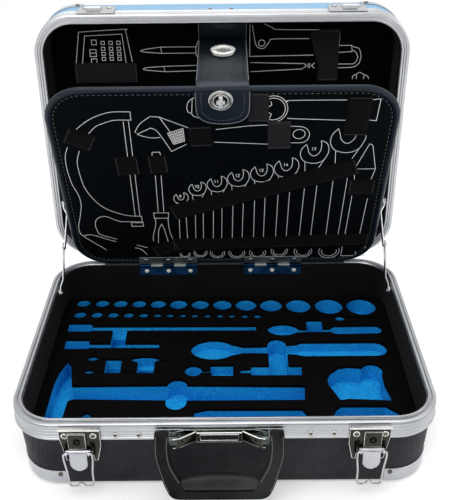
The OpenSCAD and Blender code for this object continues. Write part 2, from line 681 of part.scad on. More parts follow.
module lid_strap() color([0.16, 0.17, 0.2]) difference() {
  union() {
    translate([-28.6, 0, 0]) rotate([90, 0, 90]) linear_extrude(58.4)
      ribbon(strap_path, 1.7);
    // the tail lies on the board and ends round
    on_board() translate([0.6, 0, -kr + 1.5]) linear_extrude(1.6) {
      translate([-29.2, 276]) square([58.4, 26.2]);
      intersection() {
        translate([-29.2, 252]) square([58.4, 26]);
        translate([0, 286]) scale([1, 1.06]) circle(31.5, $fn = 64);
      }
    }
  }
  on_board() translate([-1.6, 287.5, -10]) cylinder(r = 8.8, h = 30, $fn = 32);
}

// sheet-metal eyelets: one spare in the sloping run, one round the turn lock
module eyelet() {
  difference() {
    cylinder(r = 13.6, h = 1.1, $fn = 40);
    translate([0, 0, -1]) cylinder(r = 8.9, h = 4, $fn = 32);
  }
}
module strap_eyelets() color([0.75, 0.75, 0.76]) {
  translate([1.2, 150, 387.7]) rotate([4.8, 0, 0]) eyelet();
  on_board() translate([-1.6, 287.5, -kr + 3.2]) eyelet();
}

module turn_plate() color([0.6, 0.6, 0.62]) on_board() translate([-1.6, 287.5, -kr - 0.5]) {
  cylinder(r = 7.2, h = 1.4, $fn = 32);
  cylinder(r = 3, h = 6.6, $fn = 24);
}

module turn_knob() color([0.7, 0.7, 0.7]) on_board() translate([-1.6, 287.5, -kr + 6.2]) {
  translate([-2.2, -7.8, 0]) cube([4.4, 15.6, 2.4]);
  translate([-4.6, -2, 0]) cube([9.2, 4, 2.4]);
}

// ---------- hinges

// case hinges at the back: knuckles shared out along the pin
module case_leaf(lid) {
  r = 3.2;
  for (x = [-132, 132]) translate([x, ax_y, zm]) {
    for (k = [0:4]) if ((k % 2 == 0) != lid) translate([-30 + k * 12 + 0.15, 0, 0])
      rotate([0, 90, 0]) cylinder(r = r, h = 11.7, $fn = 24);
    for (k = [0:4]) if ((k % 2 == 0) != lid) translate([-30 + k * 12 + 0.15, -4.2, lid ? 0 : -9])
      cube([11.7, 1.4, 9]);
    translate([-29.85, -4.2, lid ? 4.2 : -18]) cube([59.7, 1.4, 13.8]);
  }
}
module case_bores() {
  for (x = [-132, 132]) translate([x - 40, ax_y, zm]) rotate([0, 90, 0])
    cylinder(r = 1.6, h = 80, $fn = 24);
}
module case_leaves_base() color([0.62, 0.62, 0.64])
  difference() { case_leaf(false); case_bores(); }
module case_leaves_lid() color([0.62, 0.62, 0.64])
  opened() difference() { case_leaf(true); case_bores(); }
module case_pins() color([0.55, 0.55, 0.56]) for (x = [-132, 132])
  translate([x - 30.6, ax_y, zm]) rotate([0, 90, 0]) cylinder(r = 1.5, h = 61.2, $fn = 24);

// soft strip that hides the gap between the two frames at the back
cover_path = [[152.95, 91.1], [153.5, 92.4], [154.9, 94], [157.6, 94.05], [160, 93.2],
  [163.6, 93.2], [165.6, 94.6], [166.9, 96.8], [168.6, 99.6], [168.8, 109]];
module hinge_cover() color([0.1, 0.1, 0.11])
  translate([-165, 0, 0]) rotate([90, 0, 90]) linear_extrude(330) ribbon(cover_path, 0.8);

// butt hinges between the rear lining and the board
butt_x = [-76.8, 65.8];
module butt(up) {
  n = 5; kw = butt_w / n;
  for (x = butt_x) translate([x - butt_w / 2, 0, 0]) difference() {
    union() {
      for (k = [0:n - 1]) if ((k % 2 == 0) != up) {
        translate([k * kw + 0.12, 0, 0]) rotate([0, 90, 0]) cylinder(r = kr, h = kw - 0.24, $fn = 24);
        translate([k * kw + 0.12, up ? 0 : -3.4, -kr]) cube([kw - 0.24, 3.4, 1.2]);
      }
      translate([0.12, up ? 2.9 : -13.2, -kr]) cube([butt_w - 0.24, up ? 12.7 : 10.3, 1.2]);
    }
    translate([-1, 0, 0]) rotate([0, 90, 0]) cylinder(r = 1.25, h = butt_w + 2, $fn = 16);
    for (k = [-1, 0, 1]) translate([butt_w / 2 + k * 30, up ? 9.4 : -7.8, -kr - 1])
      cylinder(r = 2.1, h = 4, $fn = 16);
  }
}
module butt_leaves_wall() color([0.7, 0.7, 0.72]) on_slope() butt(false);
module butt_leaves_board() color([0.7, 0.7, 0.72]) on_board() butt(true);
module butt_pins() color([0.6, 0.6, 0.6]) for (x = butt_x)
  translate([x - butt_w / 2 + 0.1, bx_y, bx_z]) rotate([0, 90, 0])
    cylinder(r = 1.15, h = butt_w - 0.2, $fn = 16);
module screws(y) {
  for (x = butt_x, k = [-1, 0, 1]) translate([x + k * 30, y, -kr]) {
    cylinder(r = 2, h = 1.22, $fn = 16);
    translate([0, 0, 1.22]) cylinder(r1 = 3.4, r2 = 2.2, h = 0.8, $fn = 16);
  }
}
module butt_screws_wall() color([0.5, 0.5, 0.5]) on_slope() screws(-7.8);
module butt_screws_board() color([0.5, 0.5, 0.5]) on_board() screws(9.4);

// ---------- folding stays, drawn for the left side

// seen from the side: Y and Z of the elbow when open
open_b = [ax_y + (ax_y - up_a[0]) * -cos(lid_open) + (up_a[1] - zm) * sin(lid_open),
          zm + (ax_y - up_a[0]) * sin(lid_open) + (up_a[1] - zm) * cos(lid_open)];
ab = open_b - low_a;
low_t = atan2(ab[1], ab[0]) + acos(norm(ab) / 2 / stay_l);
elbow = [low_a[0] + stay_l * cos(low_t), low_a[1] + stay_l * sin(low_t)];
up_t = atan2(elbow[1] - open_b[1], elbow[0] - open_b[0]);

// one strap link along +Y from its wall pivot; crank sets its end out to the wall
module link(x_in, x_out, t, closed) {
  difference() {
    intersection() {
      union() {
        // lengthwise section with the cranked end, X and Y
        linear_extrude(9, center = true)
          polygon([[x_out, -5], [x_out, 9], [x_in, 18], [x_in, stay_l + 5],
            [x_in + t, stay_l + 5], [x_in + t, 17.4], [x_out + t, 8.4], [x_out + t, -5]]);
      }
      // rounded ends
      union() {
        translate([-20, 0, -4.5]) cube([40, stay_l, 9]);
        for (y = [0, stay_l]) translate([-20, y, 0]) rotate([0, 90, 0])
          cylinder(r = 4.5, h = 40, $fn = 32);
      }
    }
    for (y = closed ? [0] : [0, stay_l]) translate([-20, y, 0]) rotate([0, 90, 0])
      cylinder(r = 1.7, h = 40, $fn = 16);
  }
}

wall_x = -in_x + 0.8;  // inner face of the side lining
// the elbow stud is headed over on the lower link
module stay_low() {
  translate([0, low_a[0], low_a[1]]) rotate([low_t, 0, 0])
    translate([wall_x, 0, 0]) link(5, 1.9, 1.3, true);
  translate([wall_x, elbow[0], elbow[1]]) rotate([0, 90, 0]) {
    translate([0, 0, 3.6]) cylinder(r = 3.4, h = 1.45, $fn = 24);
    translate([0, 0, 5]) cylinder(r = 1.6, h = 1.8, $fn = 16);
  }
}
module stay_up() translate([0, open_b[0], open_b[1]]) rotate([up_t, 0, 0])
  translate([wall_x, 0, 0]) link(7, 1.9, 1.3, false);
module stay_low_l() color([0.75, 0.75, 0.77]) stay_low();
module stay_low_r() color([0.75, 0.75, 0.77]) mirror([1, 0, 0]) stay_low();
module stay_up_l() color([0.75, 0.75, 0.77]) stay_up();
module stay_up_r() color([0.75, 0.75, 0.77]) mirror([1, 0, 0]) stay_up();

// wall pins: a small plate on the lining and a shouldered stud
module wall_pin() rotate([0, 90, 0]) {
  translate([0, 0, 0.05]) cylinder(r = 5.4, h = 1.5, $fn = 24);
  cylinder(r = 1.6, h = 4.4, $fn = 16);
  translate([0, 0, 3.5]) cylinder(r = 2.9, h = 0.9, $fn = 24);
}
module stay_brackets() color([0.6, 0.6, 0.62]) for (m = [0, 1]) mirror([m, 0, 0])
  translate([wall_x, low_a[0], low_a[1]]) wall_pin();
module stay_pins_lid() color([0.6, 0.6, 0.62]) for (m = [0, 1]) mirror([m, 0, 0])
  translate([wall_x, open_b[0], open_b[1]]) wall_pin();

base_shell();
base_frame();
base_lining();
rear_lining();
foam_base();
foam_wells();
foam_small();
foam_tools();
foam_front();
foam_top();
base_guards();
base_guard_rivets();
front_rivets();
mount_plate();
handle_bracket();
handle_pins();
handle();
handle_grip();
latch_plates();
latch_rivets();
latch_pins();
lock_l();
lock_r();
lever_l();
lever_r();
bail_l();
bail_r();
lid_shell();
lid_frame();
lid_lining();
lid_backing();
back_board();
back_bands();
lid_guards();
lid_guard_rivets();
catches();
catch_rivets();
strap_rivets();
lid_strap();
strap_eyelets();
case_leaves_base();
case_leaves_lid();
case_pins();
hinge_cover();
butt_leaves_wall();
butt_leaves_board();
butt_pins();
butt_screws_wall();
butt_screws_board();
front_board();
board_binding();
board_bands();
turn_plate();
turn_knob();
stay_brackets();
stay_low_l();
stay_low_r();
stay_up_l();
stay_up_r();
stay_pins_lid();
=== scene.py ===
import math

import bmesh
import bpy
from mathutils import Matrix, Vector


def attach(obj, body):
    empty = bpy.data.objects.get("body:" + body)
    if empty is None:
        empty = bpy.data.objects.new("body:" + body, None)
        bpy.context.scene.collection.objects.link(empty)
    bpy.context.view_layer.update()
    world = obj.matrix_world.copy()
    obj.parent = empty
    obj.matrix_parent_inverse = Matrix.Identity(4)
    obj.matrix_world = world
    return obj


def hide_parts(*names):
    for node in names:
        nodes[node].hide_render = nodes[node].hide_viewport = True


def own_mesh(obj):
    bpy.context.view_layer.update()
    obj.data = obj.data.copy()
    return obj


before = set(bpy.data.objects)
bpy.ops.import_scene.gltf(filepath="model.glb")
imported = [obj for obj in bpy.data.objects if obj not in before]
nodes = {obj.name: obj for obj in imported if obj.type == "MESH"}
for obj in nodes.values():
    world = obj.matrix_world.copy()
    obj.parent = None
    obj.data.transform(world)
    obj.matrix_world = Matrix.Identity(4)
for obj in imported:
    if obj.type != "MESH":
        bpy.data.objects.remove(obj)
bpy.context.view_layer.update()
scene = bpy.context.scene
print("frame loaded,", len(nodes), "nodes")

mm = 0.001
caseSize = {"width": 460, "depth": 330, "baseHeight": 92, "lidHeight": 66, "corner": 50,
            "hingeY": 170, "lidAngle": 91, "wall": 2.5}
boardSize = {"width": 404, "height": 300.4, "corner": 47, "middle": 151.8,
             "hingeY": 150, "hingeZ": 91.5, "lean": 19, "face": -2.9, "backDeep": 46}


# ---- places: from a piece's own millimetres to the shared frame

def asBase(p):
    return p


def cosSin(degrees):
    return math.cos(math.radians(degrees)), math.sin(math.radians(degrees))


def asOpened(p):
    c, s = cosSin(caseSize["lidAngle"])
    y, z = p[1] - caseSize["hingeY"], p[2] - caseSize["baseHeight"]
    return (p[0], caseSize["hingeY"] + y * c + z * s, caseSize["baseHeight"] - y * s + z * c)


def asLid(p):  # the lid drawn standing on its outside, as the base stands
    return asOpened((p[0], p[1], caseSize["baseHeight"] + caseSize["lidHeight"] - p[2]))


def onBoard(p):  # across, up from the hinge, out of the face
    c, s = cosSin(boardSize["lean"])
    return (p[0], boardSize["hingeY"] - s * p[1] - c * p[2], boardSize["hingeZ"] + c * p[1] - s * p[2])


def onBackBoard(p):  # across, up from the lid's hinge, out of the face
    return asLid((p[0], caseSize["hingeY"] - p[1], caseSize["lidHeight"] - boardSize["backDeep"] + p[2]))


# ---- forms: lists of points and faces

def circle(radius, level=0.0, sides=48):
    turns = [2 * math.pi * k / sides for k in range(sides)]
    return [(radius * math.cos(a), radius * math.sin(a), level) for a in turns]


def roundedOutline(halfW, halfD, radius, steps=14):
    points = []
    for sx, sy, start in ((1, 1, 0), (-1, 1, 90), (-1, -1, 180), (1, -1, 270)):
        for i in range(steps + 1):
            c, s = cosSin(start + 90 * i / steps)
            points.append((sx * (halfW - radius) + radius * c, sy * (halfD - radius) + radius * s))
    return points


def smoothPath(points, steps=4, corner=50, closed=False):
    # a soft curve through the points, broken where the line turns sharply
    n = len(points)
    if n < 3:
        return [tuple(p) for p in points]
    size = len(points[0])

    def turn(i):
        if not closed and i in (0, n - 1):
            return 180
        a, b, c = (Vector(list(points[(i + k) % n]) + [0] * (3 - size)) for k in (-1, 0, 1))
        if (b - a).length < 1e-6 or (c - b).length < 1e-6:
            return 180
        return math.degrees((b - a).angle(c - b))

    out = []
    for i in range(n if closed else n - 1):
        b, c = points[i], points[(i + 1) % n]
        a = points[i - 1] if turn(i) < corner else b
        d = points[(i + 2) % n] if turn((i + 1) % n) < corner else c
        for k in range(steps):
            t = k / steps
            out.append(tuple(0.5 * (2 * b[j] + (c[j] - a[j]) * t
                                    + (2 * a[j] - 5 * b[j] + 4 * c[j] - d[j]) * t * t
                                    + (3 * b[j] - a[j] - 3 * c[j] + d[j]) * t ** 3) for j in range(size)))
    if not closed:
        out.append(tuple(points[-1]))
    return out


def loft(rings, loop=False):
    n, m = len(rings[0]), len(rings)
    faces = []
    for i in range(m if loop else m - 1):
        for k in range(n):
            faces.append((i * n + k, i * n + (k + 1) % n,
                          (i + 1) % m * n + (k + 1) % n, (i + 1) % m * n + k))
    if not loop:
        faces += [tuple(range(n - 1, -1, -1)), tuple((m - 1) * n + k for k in range(n))]
    return [p for ring in rings for p in ring], faces


def roundRing(section, halfW, halfD, radius, steps=14, middle=(0, 0)):
    # a closed section of (inset, level) points carried round a rounded rectangle
    return loft([[(x + middle[0], y + middle[1], level) for x, y in
                  roundedOutline(halfW - inset, halfD - inset, radius - inset, steps)]
                 for inset, level in section], loop=True)


def slab(outline, low, high):
    return loft([[(x, y, low) for x, y in outline], [(x, y, high) for x, y in outline]])


def tube(path, radius, sides=10, loop=False):
    points = [Vector(p) for p in path]
    rings, n = [], len(points)
    normal = None
    for i, p in enumerate(points):
        before = points[i - 1] if i or loop else p
        after = points[(i + 1) % n] if i < n - 1 or loop else p
        along = (after - before).normalized()
        if normal is None:
            normal = along.orthogonal().normalized()
        normal = (normal - along * normal.dot(along)).normalized()
        side = along.cross(normal)
        rings.append([tuple(p + (normal * math.cos(2 * math.pi * k / sides)
                                 + side * math.sin(2 * math.pi * k / sides)) * radius) for k in range(sides)])
    return loft(rings, loop=loop)


def dash(a, b, wide, high):
    # one sewn stitch, sunk at both ends
    a, b, up = Vector(a), Vector(b), Vector((0, 0, 1))
    along = (b - a).normalized()
    side = up.cross(along).normalized()
    rings = []
    for t, grow in ((0, 0.2), (0.18, 0.85), (0.5, 1), (0.82, 0.85), (1, 0.2)):
        middle = a.lerp(b, t) + up * (high * (grow - 0.75) * 0.6)
        rings.append([tuple(middle + side * math.cos(q) * wide / 2 * max(grow, 0.4)
                            + up * math.sin(q) * high / 2 * max(grow, 0.4))
                      for q in (2 * math.pi * k / 6 for k in range(6))])
    return loft(rings)


def stitches(path, pitch=4.2, share=0.6, wide=0.7, high=0.5, loop=False):
    # dashes spaced along a path; the path is walked at an even pace
    points = [Vector(p) for p in path] + ([Vector(path[0])] if loop else [])
    lengths = [0]
    for a, b in zip(points, points[1:]):
        lengths.append(lengths[-1] + (b - a).length)
    count = max(1, round(lengths[-1] / pitch))

    def at(s):
        for i in range(len(points) - 1):
            if s <= lengths[i + 1] or i == len(points) - 2:
                span = max(1e-9, lengths[i + 1] - lengths[i])
                return points[i].lerp(points[i + 1], (s - lengths[i]) / span)
    step = lengths[-1] / count
    return [dash(at((k + 0.5 - share / 2) * step), at((k + 0.5 + share / 2) * step), wide, high)
            for k in range(count)]


def inkLine(path, width=0.64, low=-2.95, high=-2.78):
    # a printed line as a thin flat strip, mitred at its bends
    n = len(path)
    closed = math.dist(path[0], path[-1]) < 0.01 and n > 3
    rings = []
    for i, p in enumerate(path):
        q = Vector(p)
        a = Vector(path[i - 1]) if i else (Vector(path[-2]) if closed else q)
        b = Vector(path[i + 1]) if i < n - 1 else (Vector(path[1]) if closed else q)
        d1 = (q - a).normalized() if (q - a).length > 1e-6 else (b - q).normalized()
        d2 = (b - q).normalized() if (b - q).length > 1e-6 else d1
        u = d1 + d2
        u = u.normalized() if u.length > 0.3 else d1
        grow = min(1.8, 1 / max(0.3, u.dot(d1)))
        side = Vector((-u.y, u.x)) * width / 2 * grow
        rings.append([(q.x + side.x, q.y + side.y, low), (q.x + side.x, q.y + side.y, high),
                      (q.x - side.x, q.y - side.y, high), (q.x - side.x, q.y - side.y, low)])
    return loft(rings)


def dome(radius, height, flatTop=0.25):
    # a rivet head about Z
    return loft([circle(radius * r, z * height, 28) for r, z in
                 ((1, 0), (1, 0.3), (0.93, 0.55), (0.75, 0.82), (0.5, 0.96), (flatTop, 1))])


def turnedRing(section, sides=48):
    # a closed section of (radius, height) turned about Z
    return loft([circle(r, z, sides) for r, z in section], loop=True)


def moved(form, place):
    return [place(p) for p in form[0]], form[1]


# ---- pieces

def editMesh(mesh, *steps):
    shape = bmesh.new()
    shape.from_mesh(mesh)
    for step in steps:
        step(shape)
    shape.to_mesh(mesh)
    shape.free()


def dressMesh(name, mesh, finish, body, stands, sharp, bevel, segments, bevelAngle):
    # shades a mesh, rounds its edges, links it to the scene and attaches it to its body
    mesh.polygons.foreach_set("use_smooth", [True] * len(mesh.polygons))
    mesh.set_sharp_from_angle(angle=math.radians(sharp))
    mesh.materials.append(finishes[finish])
    piece = bpy.data.objects.new(name, mesh)
    scene.collection.objects.link(piece)
    if bevel:
        soft = piece.modifiers.new("softEdges", "BEVEL")
        soft.width, soft.segments, soft.limit_method = bevel * mm, segments, "ANGLE"
        soft.angle_limit = math.radians(bevelAngle)
    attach(piece, body)
    if stands:
        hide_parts(*stands)
    return piece


def makePiece(name, forms, finish, body, place=asBase, stands=(), bevel=0, sharp=38, lay=None):
    points, faces = [], []
    for form in forms:
        start = len(points)
        points += [Vector(place(p)) * mm for p in form[0]]
        faces += [tuple(start + i for i in face) for face in form[1]]
    mesh = bpy.data.meshes.new(name)
    mesh.from_pydata(points, [], faces)
    editMesh(mesh, lambda shape: bmesh.ops.recalc_face_normals(shape, faces=shape.faces[:]))
    if lay:  # thread direction: along and across the piece, in metres
        store = mesh.attributes.new("lay", "FLOAT_VECTOR", "POINT")
        store.data.foreach_set("vector", [c * mm for p in lay for c in (p[0], p[1], 0)])
    return dressMesh(name, mesh, finish, body, stands, sharp, bevel, 3, 32)


def fromNode(name, node, finish, body, bevel=0.4):
    # a node's own shape with its edges really rounded
    mesh = nodes[node].data.copy()
    mesh.name = name
    mesh.materials.clear()
    editMesh(mesh, lambda shape: bmesh.ops.remove_doubles(shape, verts=shape.verts[:], dist=2e-6),
             lambda shape: bmesh.ops.dissolve_limit(shape, angle_limit=math.radians(1), verts=shape.verts[:],
                                                    edges=shape.edges[:]))
    return dressMesh(name, mesh, finish, body, [node], 32, bevel, 2, 40)


# ---- shader groups

def addNode(tree, kind, links=None, **values):
    node = tree.nodes.new("ShaderNode" + kind)
    for key, value in values.items():
        setattr(node, key, value)
    for socket, source in (links or {}).items():
        if isinstance(source, bpy.types.NodeSocket):
            tree.links.new(source, node.inputs[socket])
        else:
            node.inputs[socket].default_value = source
    return node


def newGroup(name, inputs, build):
    # build gives the group's outputs by name; a Normal is a vector, the rest are values
    tree = bpy.data.node_groups.new(name, "ShaderNodeTree")
    for label, value in inputs.items():
        kind = "NodeSocketVector" if isinstance(value, tuple) else "NodeSocketFloat"
        tree.interface.new_socket(name=label, in_out="INPUT", socket_type=kind).default_value = value
    results = build(tree, tree.nodes.new("NodeGroupInput").outputs)
    for label in results:
        kind = "NodeSocketVector" if label == "Normal" else "NodeSocketFloat"
        tree.interface.new_socket(name=label, in_out="OUTPUT", socket_type=kind)
    out = tree.nodes.new("NodeGroupOutput").inputs
    for label, source in results.items():
        tree.links.new(source, out[label])
    return tree


def math2(tree, operation, a, b=0.0, clamp=False):
    return addNode(tree, "Math", {0: a, 1: b}, operation=operation, use_clamp=clamp).outputs[0]


def times(tree, a, b):
    return math2(tree, "MULTIPLY", a, b)


def spread(tree, value, low, high, toLow=0.0, toHigh=1.0):
    return addNode(tree, "MapRange", {0: value, 1: low, 2: high, 3: toLow, 4: toHigh}).outputs[0]


def mixColour(tree, factor, a, b):
    return addNode(tree, "Mix", {0: factor, 6: a, 7: b}, data_type="RGBA").outputs[2]


def objectPlace(tree):
    return addNode(tree, "TexCoord").outputs["Object"]


def noise(tree, where, scale, detail=2.0, **more):
    links = {"Vector": where, "Scale": scale, "Detail": detail, **more}
    return addNode(tree, "TexNoise", links).outputs["Fac"]


def cellDistance(tree, where, pitch, uneven):
    links = {"Vector": where, "Scale": math2(tree, "DIVIDE", 1.0, pitch), "Randomness": uneven}
    return addNode(tree, "TexVoronoi", links).outputs["Distance"]


def softEdge(tree, given):
    # rounds the edges for the light and gives the mask where a painted highlight brightens them
    bevel = addNode(tree, "Bevel", {"Radius": given["Radius"]}, samples=4).outputs[0]
    flat = addNode(tree, "NewGeometry").outputs["Normal"]
    dot = addNode(tree, "VectorMath", {0: bevel, 1: flat}, operation="DOT_PRODUCT").outputs["Value"]
    uneven = spread(tree, noise(tree, objectPlace(tree), given["Breakup"]), 0.3, 0.65, 0.35, 1.0)
    edge = spread(tree, dot, 0.985, 0.86)
    return {"Normal": bevel, "Mask": math2(tree, "MULTIPLY", edge, uneven, clamp=True)}


def sheetPatches(tree, where):
    return spread(tree, noise(tree, where, 14.0, 3.0), 0.35, 0.7)


def pebbleGrain(tree, given):
    # the small even grain of moulded sheet
    where = objectPlace(tree)
    turned = addNode(tree, "Mapping", {"Vector": where, "Rotation": (0.61, 0.79, 0.77)}).outputs[0]
    cells = cellDistance(tree, turned, given["Pitch"], given["Evenness"])
    return {"Height": spread(tree, cells, 0.1, 0.65, 1.0, 0.0), "Mask": sheetPatches(tree, where)}


def dotGrid(tree, given):
    # staggered small dots pressed into sheet, the same on walls that face different ways
    where = objectPlace(tree)
    scale = math2(tree, "DIVIDE", 2 * math.pi, given["Pitch"])
    parts = addNode(tree, "SeparateXYZ", {0: where}).outputs
    x, y, z = (math2(tree, "COSINE", times(tree, parts[i], scale)) for i in range(3))
    pairs = math2(tree, "ADD", times(tree, x, z), times(tree, y, z))
    height = math2(tree, "ADD", pairs, times(tree, times(tree, x, y), 0.4))
    return {"Height": spread(tree, height, -0.2, 1.0), "Mask": sheetPatches(tree, where)}


def metalStreak(tree, given):
    # drawn or brushed metal: long fine lines, and slow cloudy bands that are both the metal's uneven tone and
    # painted darker zones of its reflections
    where = objectPlace(tree)
    stretched = addNode(tree, "VectorMath", {0: where, 1: given["Stretch"]}, operation="MULTIPLY").outputs[0]
    fine = noise(tree, stretched, 1.0, 3.0, Roughness=0.6)
    wide = noise(tree, where, given["Cloud"], Distortion=0.6)
    return {"Height": fine, "Mask": spread(tree, fine, 0.3, 0.7), "Clouds": spread(tree, wide, 0.36, 0.64)}


def wovenBand(tree, given):
    # ribs along a band crossed by finer threads, laid by the piece's own directions
    lay = addNode(tree, "Attribute", attribute_name="lay").outputs["Vector"]
    parts = addNode(tree, "SeparateXYZ", {0: lay}).outputs
    rib, pick = (math2(tree, "SINE", times(tree, times(tree, parts[i], given[label]), 2 * math.pi))
                 for i, label in ((1, "Ribs"), (0, "Picks")))
    threads = times(tree, math2(tree, "ADD", rib, 1.2), math2(tree, "ADD", pick, 2.0))
    return {"Height": spread(tree, threads, 0.0, 6.0),
            "Mask": spread(tree, noise(tree, lay, 700.0, 3.0), 0.32, 0.68)}


def feltFibre(tree, given):
    # short matted fibres
    where = objectPlace(tree)
    fibre = noise(tree, where, given["Scale"], 5.0, Roughness=0.7, Distortion=1.2)
    return {"Height": fibre, "Mask": spread(tree, fibre, 0.36, 0.66),
            "Patch": spread(tree, noise(tree, where, given["Patches"]), 0.36, 0.66)}


def foamCells(tree, given):
    # open cells: dark pits between bright walls
    where = objectPlace(tree)
    scale = math2(tree, "DIVIDE", 1.0, given["Cell"])
    grain = noise(tree, where, scale, 3.0, Roughness=0.7)
    return {"Height": cellDistance(tree, where, given["Cell"], 1.0), "Speck": spread(tree, grain, 0.36, 0.64),
            "Patch": spread(tree, noise(tree, where, 30.0), 0.36, 0.64)}


groups = {build.__name__: newGroup(build.__name__, inputs, build) for build, inputs in (
    (softEdge, {"Radius": 0.0005, "Breakup": 300.0}), (pebbleGrain, {"Pitch": 0.0017, "Evenness": 0.25}),
    (dotGrid, {"Pitch": 0.003}), (metalStreak, {"Stretch": (20.0, 20.0, 1500.0), "Cloud": 22.0}),
    (wovenBand, {"Ribs": 900.0, "Picks": 1400.0}), (feltFibre, {"Scale": 900.0, "Patches": 26.0}),
    (foamCells, {"Cell": 0.0011}))}
print("shader groups ready")


# ---- finishes

def newFinish(name, colour, roughness, metallic=0.0, specular=0.5, **extra):
    material = bpy.data.materials.new(name)
    material.use_nodes = True
    shader = material.node_tree.nodes["Principled BSDF"]
    shader.inputs["Base Color"].default_value = (*colour, 1)
    shader.inputs["Roughness"].default_value = roughness
    shader.inputs["Metallic"].default_value = metallic
    shader.inputs["Specular IOR Level"].default_value = specular
    for label, value in extra.items():
        shader.inputs[label.replace("_", " ")].default_value = value
    return material, material.node_tree, shader


def useGroup(tree, name, **values):
    node = tree.nodes.new("ShaderNodeGroup")
    node.node_tree = groups[name]
    for key, value in values.items():
        node.inputs[key].default_value = value
    return node.outputs


def tint(colour, by):
    return (*(min(1.0, c * by) for c in colour), 1)


def setColour(tree, shader, source):
    tree.links.new(source, shader.inputs["Base Color"])


def setRoughness(tree, shader, mask, low, high):
    tree.links.new(spread(tree, mask, 0, 1, low, high), shader.inputs["Roughness"])


def addBump(tree, shader, height, strength, distance, normal=None):
    links = {"Height": height, "Strength": strength, "Distance": distance}
    if normal is not None:
        links["Normal"] = normal
    tree.links.new(addNode(tree, "Bump", links).outputs[0], shader.inputs["Normal"])


def twoTone(tree, shader, colour, group, tones, patches):
    # dark to light by one output of the group, then a share of a third tone by another
    label, low, high = tones
    base = mixColour(tree, group[label], tint(colour, low), tint(colour, high))
    label, share, third = patches
    setColour(tree, shader, mixColour(tree, times(tree, group[label], share), base, tint(colour, third)))


def mouldedSheet(name, colour, pitch=0.0017, roughness=0.5, specular=0.3, depth=0.5, dots=(0.72, 1.25),
                 dotted=False):
    material, tree, shader = newFinish(name, colour, roughness, specular=specular)
    grain = (useGroup(tree, "dotGrid", Pitch=pitch) if dotted
             else useGroup(tree, "pebbleGrain", Pitch=pitch, Evenness=0.2))
    edge = useGroup(tree, "softEdge", Radius=0.0006, Breakup=260.0)
    body = mixColour(tree, grain["Height"], tint(colour, dots[0]), tint(colour, dots[1]))
    aged = mixColour(tree, grain["Mask"], body, mixColour(tree, 0.12, body, (0.5, 0.5, 0.5, 1)))
    # edges lightened by the edge mask: a painted highlight
    rubbed = mixColour(tree, times(tree, edge["Mask"], 0.25), aged, tint(colour, 2.4))
    setColour(tree, shader, mixColour(tree, 0.5, body, rubbed))
    setRoughness(tree, shader, grain["Mask"], roughness - 0.06, roughness + 0.08)
    addBump(tree, shader, grain["Height"], depth, 0.00025, edge["Normal"])
    return material


def drawnMetal(name, colour, stretch=200.0, roughness=0.3, radius=0.0003, clouds=22.0, contrast=0.16,
               rubbed=1.15):
    # stretch: how fine the lines are, one number or one for each axis
    # the last factor says how far a painted highlight brightens the edges
    material, tree, shader = newFinish(name, colour, roughness, metallic=1.0)
    fine = stretch if isinstance(stretch, tuple) else (stretch, stretch, stretch)
    streak = useGroup(tree, "metalStreak", Stretch=fine, Cloud=clouds)
    edge = useGroup(tree, "softEdge", Radius=radius, Breakup=300.0)
    lines = mixColour(tree, streak["Mask"], tint(colour, 1 - contrast), tint(colour, 1 + contrast / 2))
    # a share darkened in slow bands: uneven tone together with painted darker reflection zones
    bands = mixColour(tree, times(tree, streak["Clouds"], 0.45), lines, tint(colour, 0.74))
    # edges brightened by the edge mask: a painted highlight along them
    setColour(tree, shader, mixColour(tree, edge["Mask"], bands, tint(colour, rubbed)))
    setRoughness(tree, shader, streak["Mask"], roughness * 0.8, roughness * 1.25)
    addBump(tree, shader, streak["Height"], 0.12, 0.00008, edge["Normal"])
    return material


def wovenElastic(name, colour, sheen=0.25):
    material, tree, shader = newFinish(name, colour, 0.85, specular=0.06, Sheen_Weight=sheen,
                                       Sheen_Roughness=0.4)
    weave = useGroup(tree, "wovenBand")
    twoTone(tree, shader, colour, weave, ("Height", 0.45, 1.9), ("Mask", 0.5, 1.3))
    addBump(tree, shader, weave["Height"], 0.6, 0.0003)
    return material


def mattedFelt(name, colour, scale=900.0, depth=0.5, sheen=0.1):
    material, tree, shader = newFinish(name, colour, 0.95, specular=0.04, Sheen_Weight=sheen,
                                       Sheen_Roughness=0.5)
    felt = useGroup(tree, "feltFibre", Scale=scale)
    twoTone(tree, shader, colour, felt, ("Mask", 0.55, 1.7), ("Patch", 0.35, 0.7))
    addBump(tree, shader, felt["Height"], depth, 0.0004)
    return material


def cutFoam(name, colour, cell=0.0011, contrast=0.3, depth=0.5, roughness=0.95, specular=0.1):
    material, tree, shader = newFinish(name, colour, roughness, specular=specular)
    cells = useGroup(tree, "foamCells", Cell=cell)
    twoTone(tree, shader, colour, cells, ("Speck", 1 - contrast, 1 + contrast), ("Patch", 0.3, 0.8))
    addBump(tree, shader, cells["Height"], depth, 0.0004)
    return material


def grainedLeather(name, colour, pitch=0.0011, roughness=0.5, specular=0.5, depth=0.35):
    # the reflections are tinted blue: a painted blue reflection
    material, tree, shader = newFinish(name, colour, roughness, specular=specular,
                                       Specular_Tint=(0.72, 0.86, 1.0, 1.0))
    grain = useGroup(tree, "pebbleGrain", Pitch=pitch, Evenness=1.0)
    twoTone(tree, shader, colour, grain, ("Height", 0.6, 1.3), ("Mask", 0.4, 1.5))
    setRoughness(tree, shader, grain["Mask"], roughness - 0.07, roughness + 0.1)
    addBump(tree, shader, grain["Height"], depth, 0.0002)
    return material


def fill(red, green, blue, **values):
    return {"colour": (red, green, blue), **values}


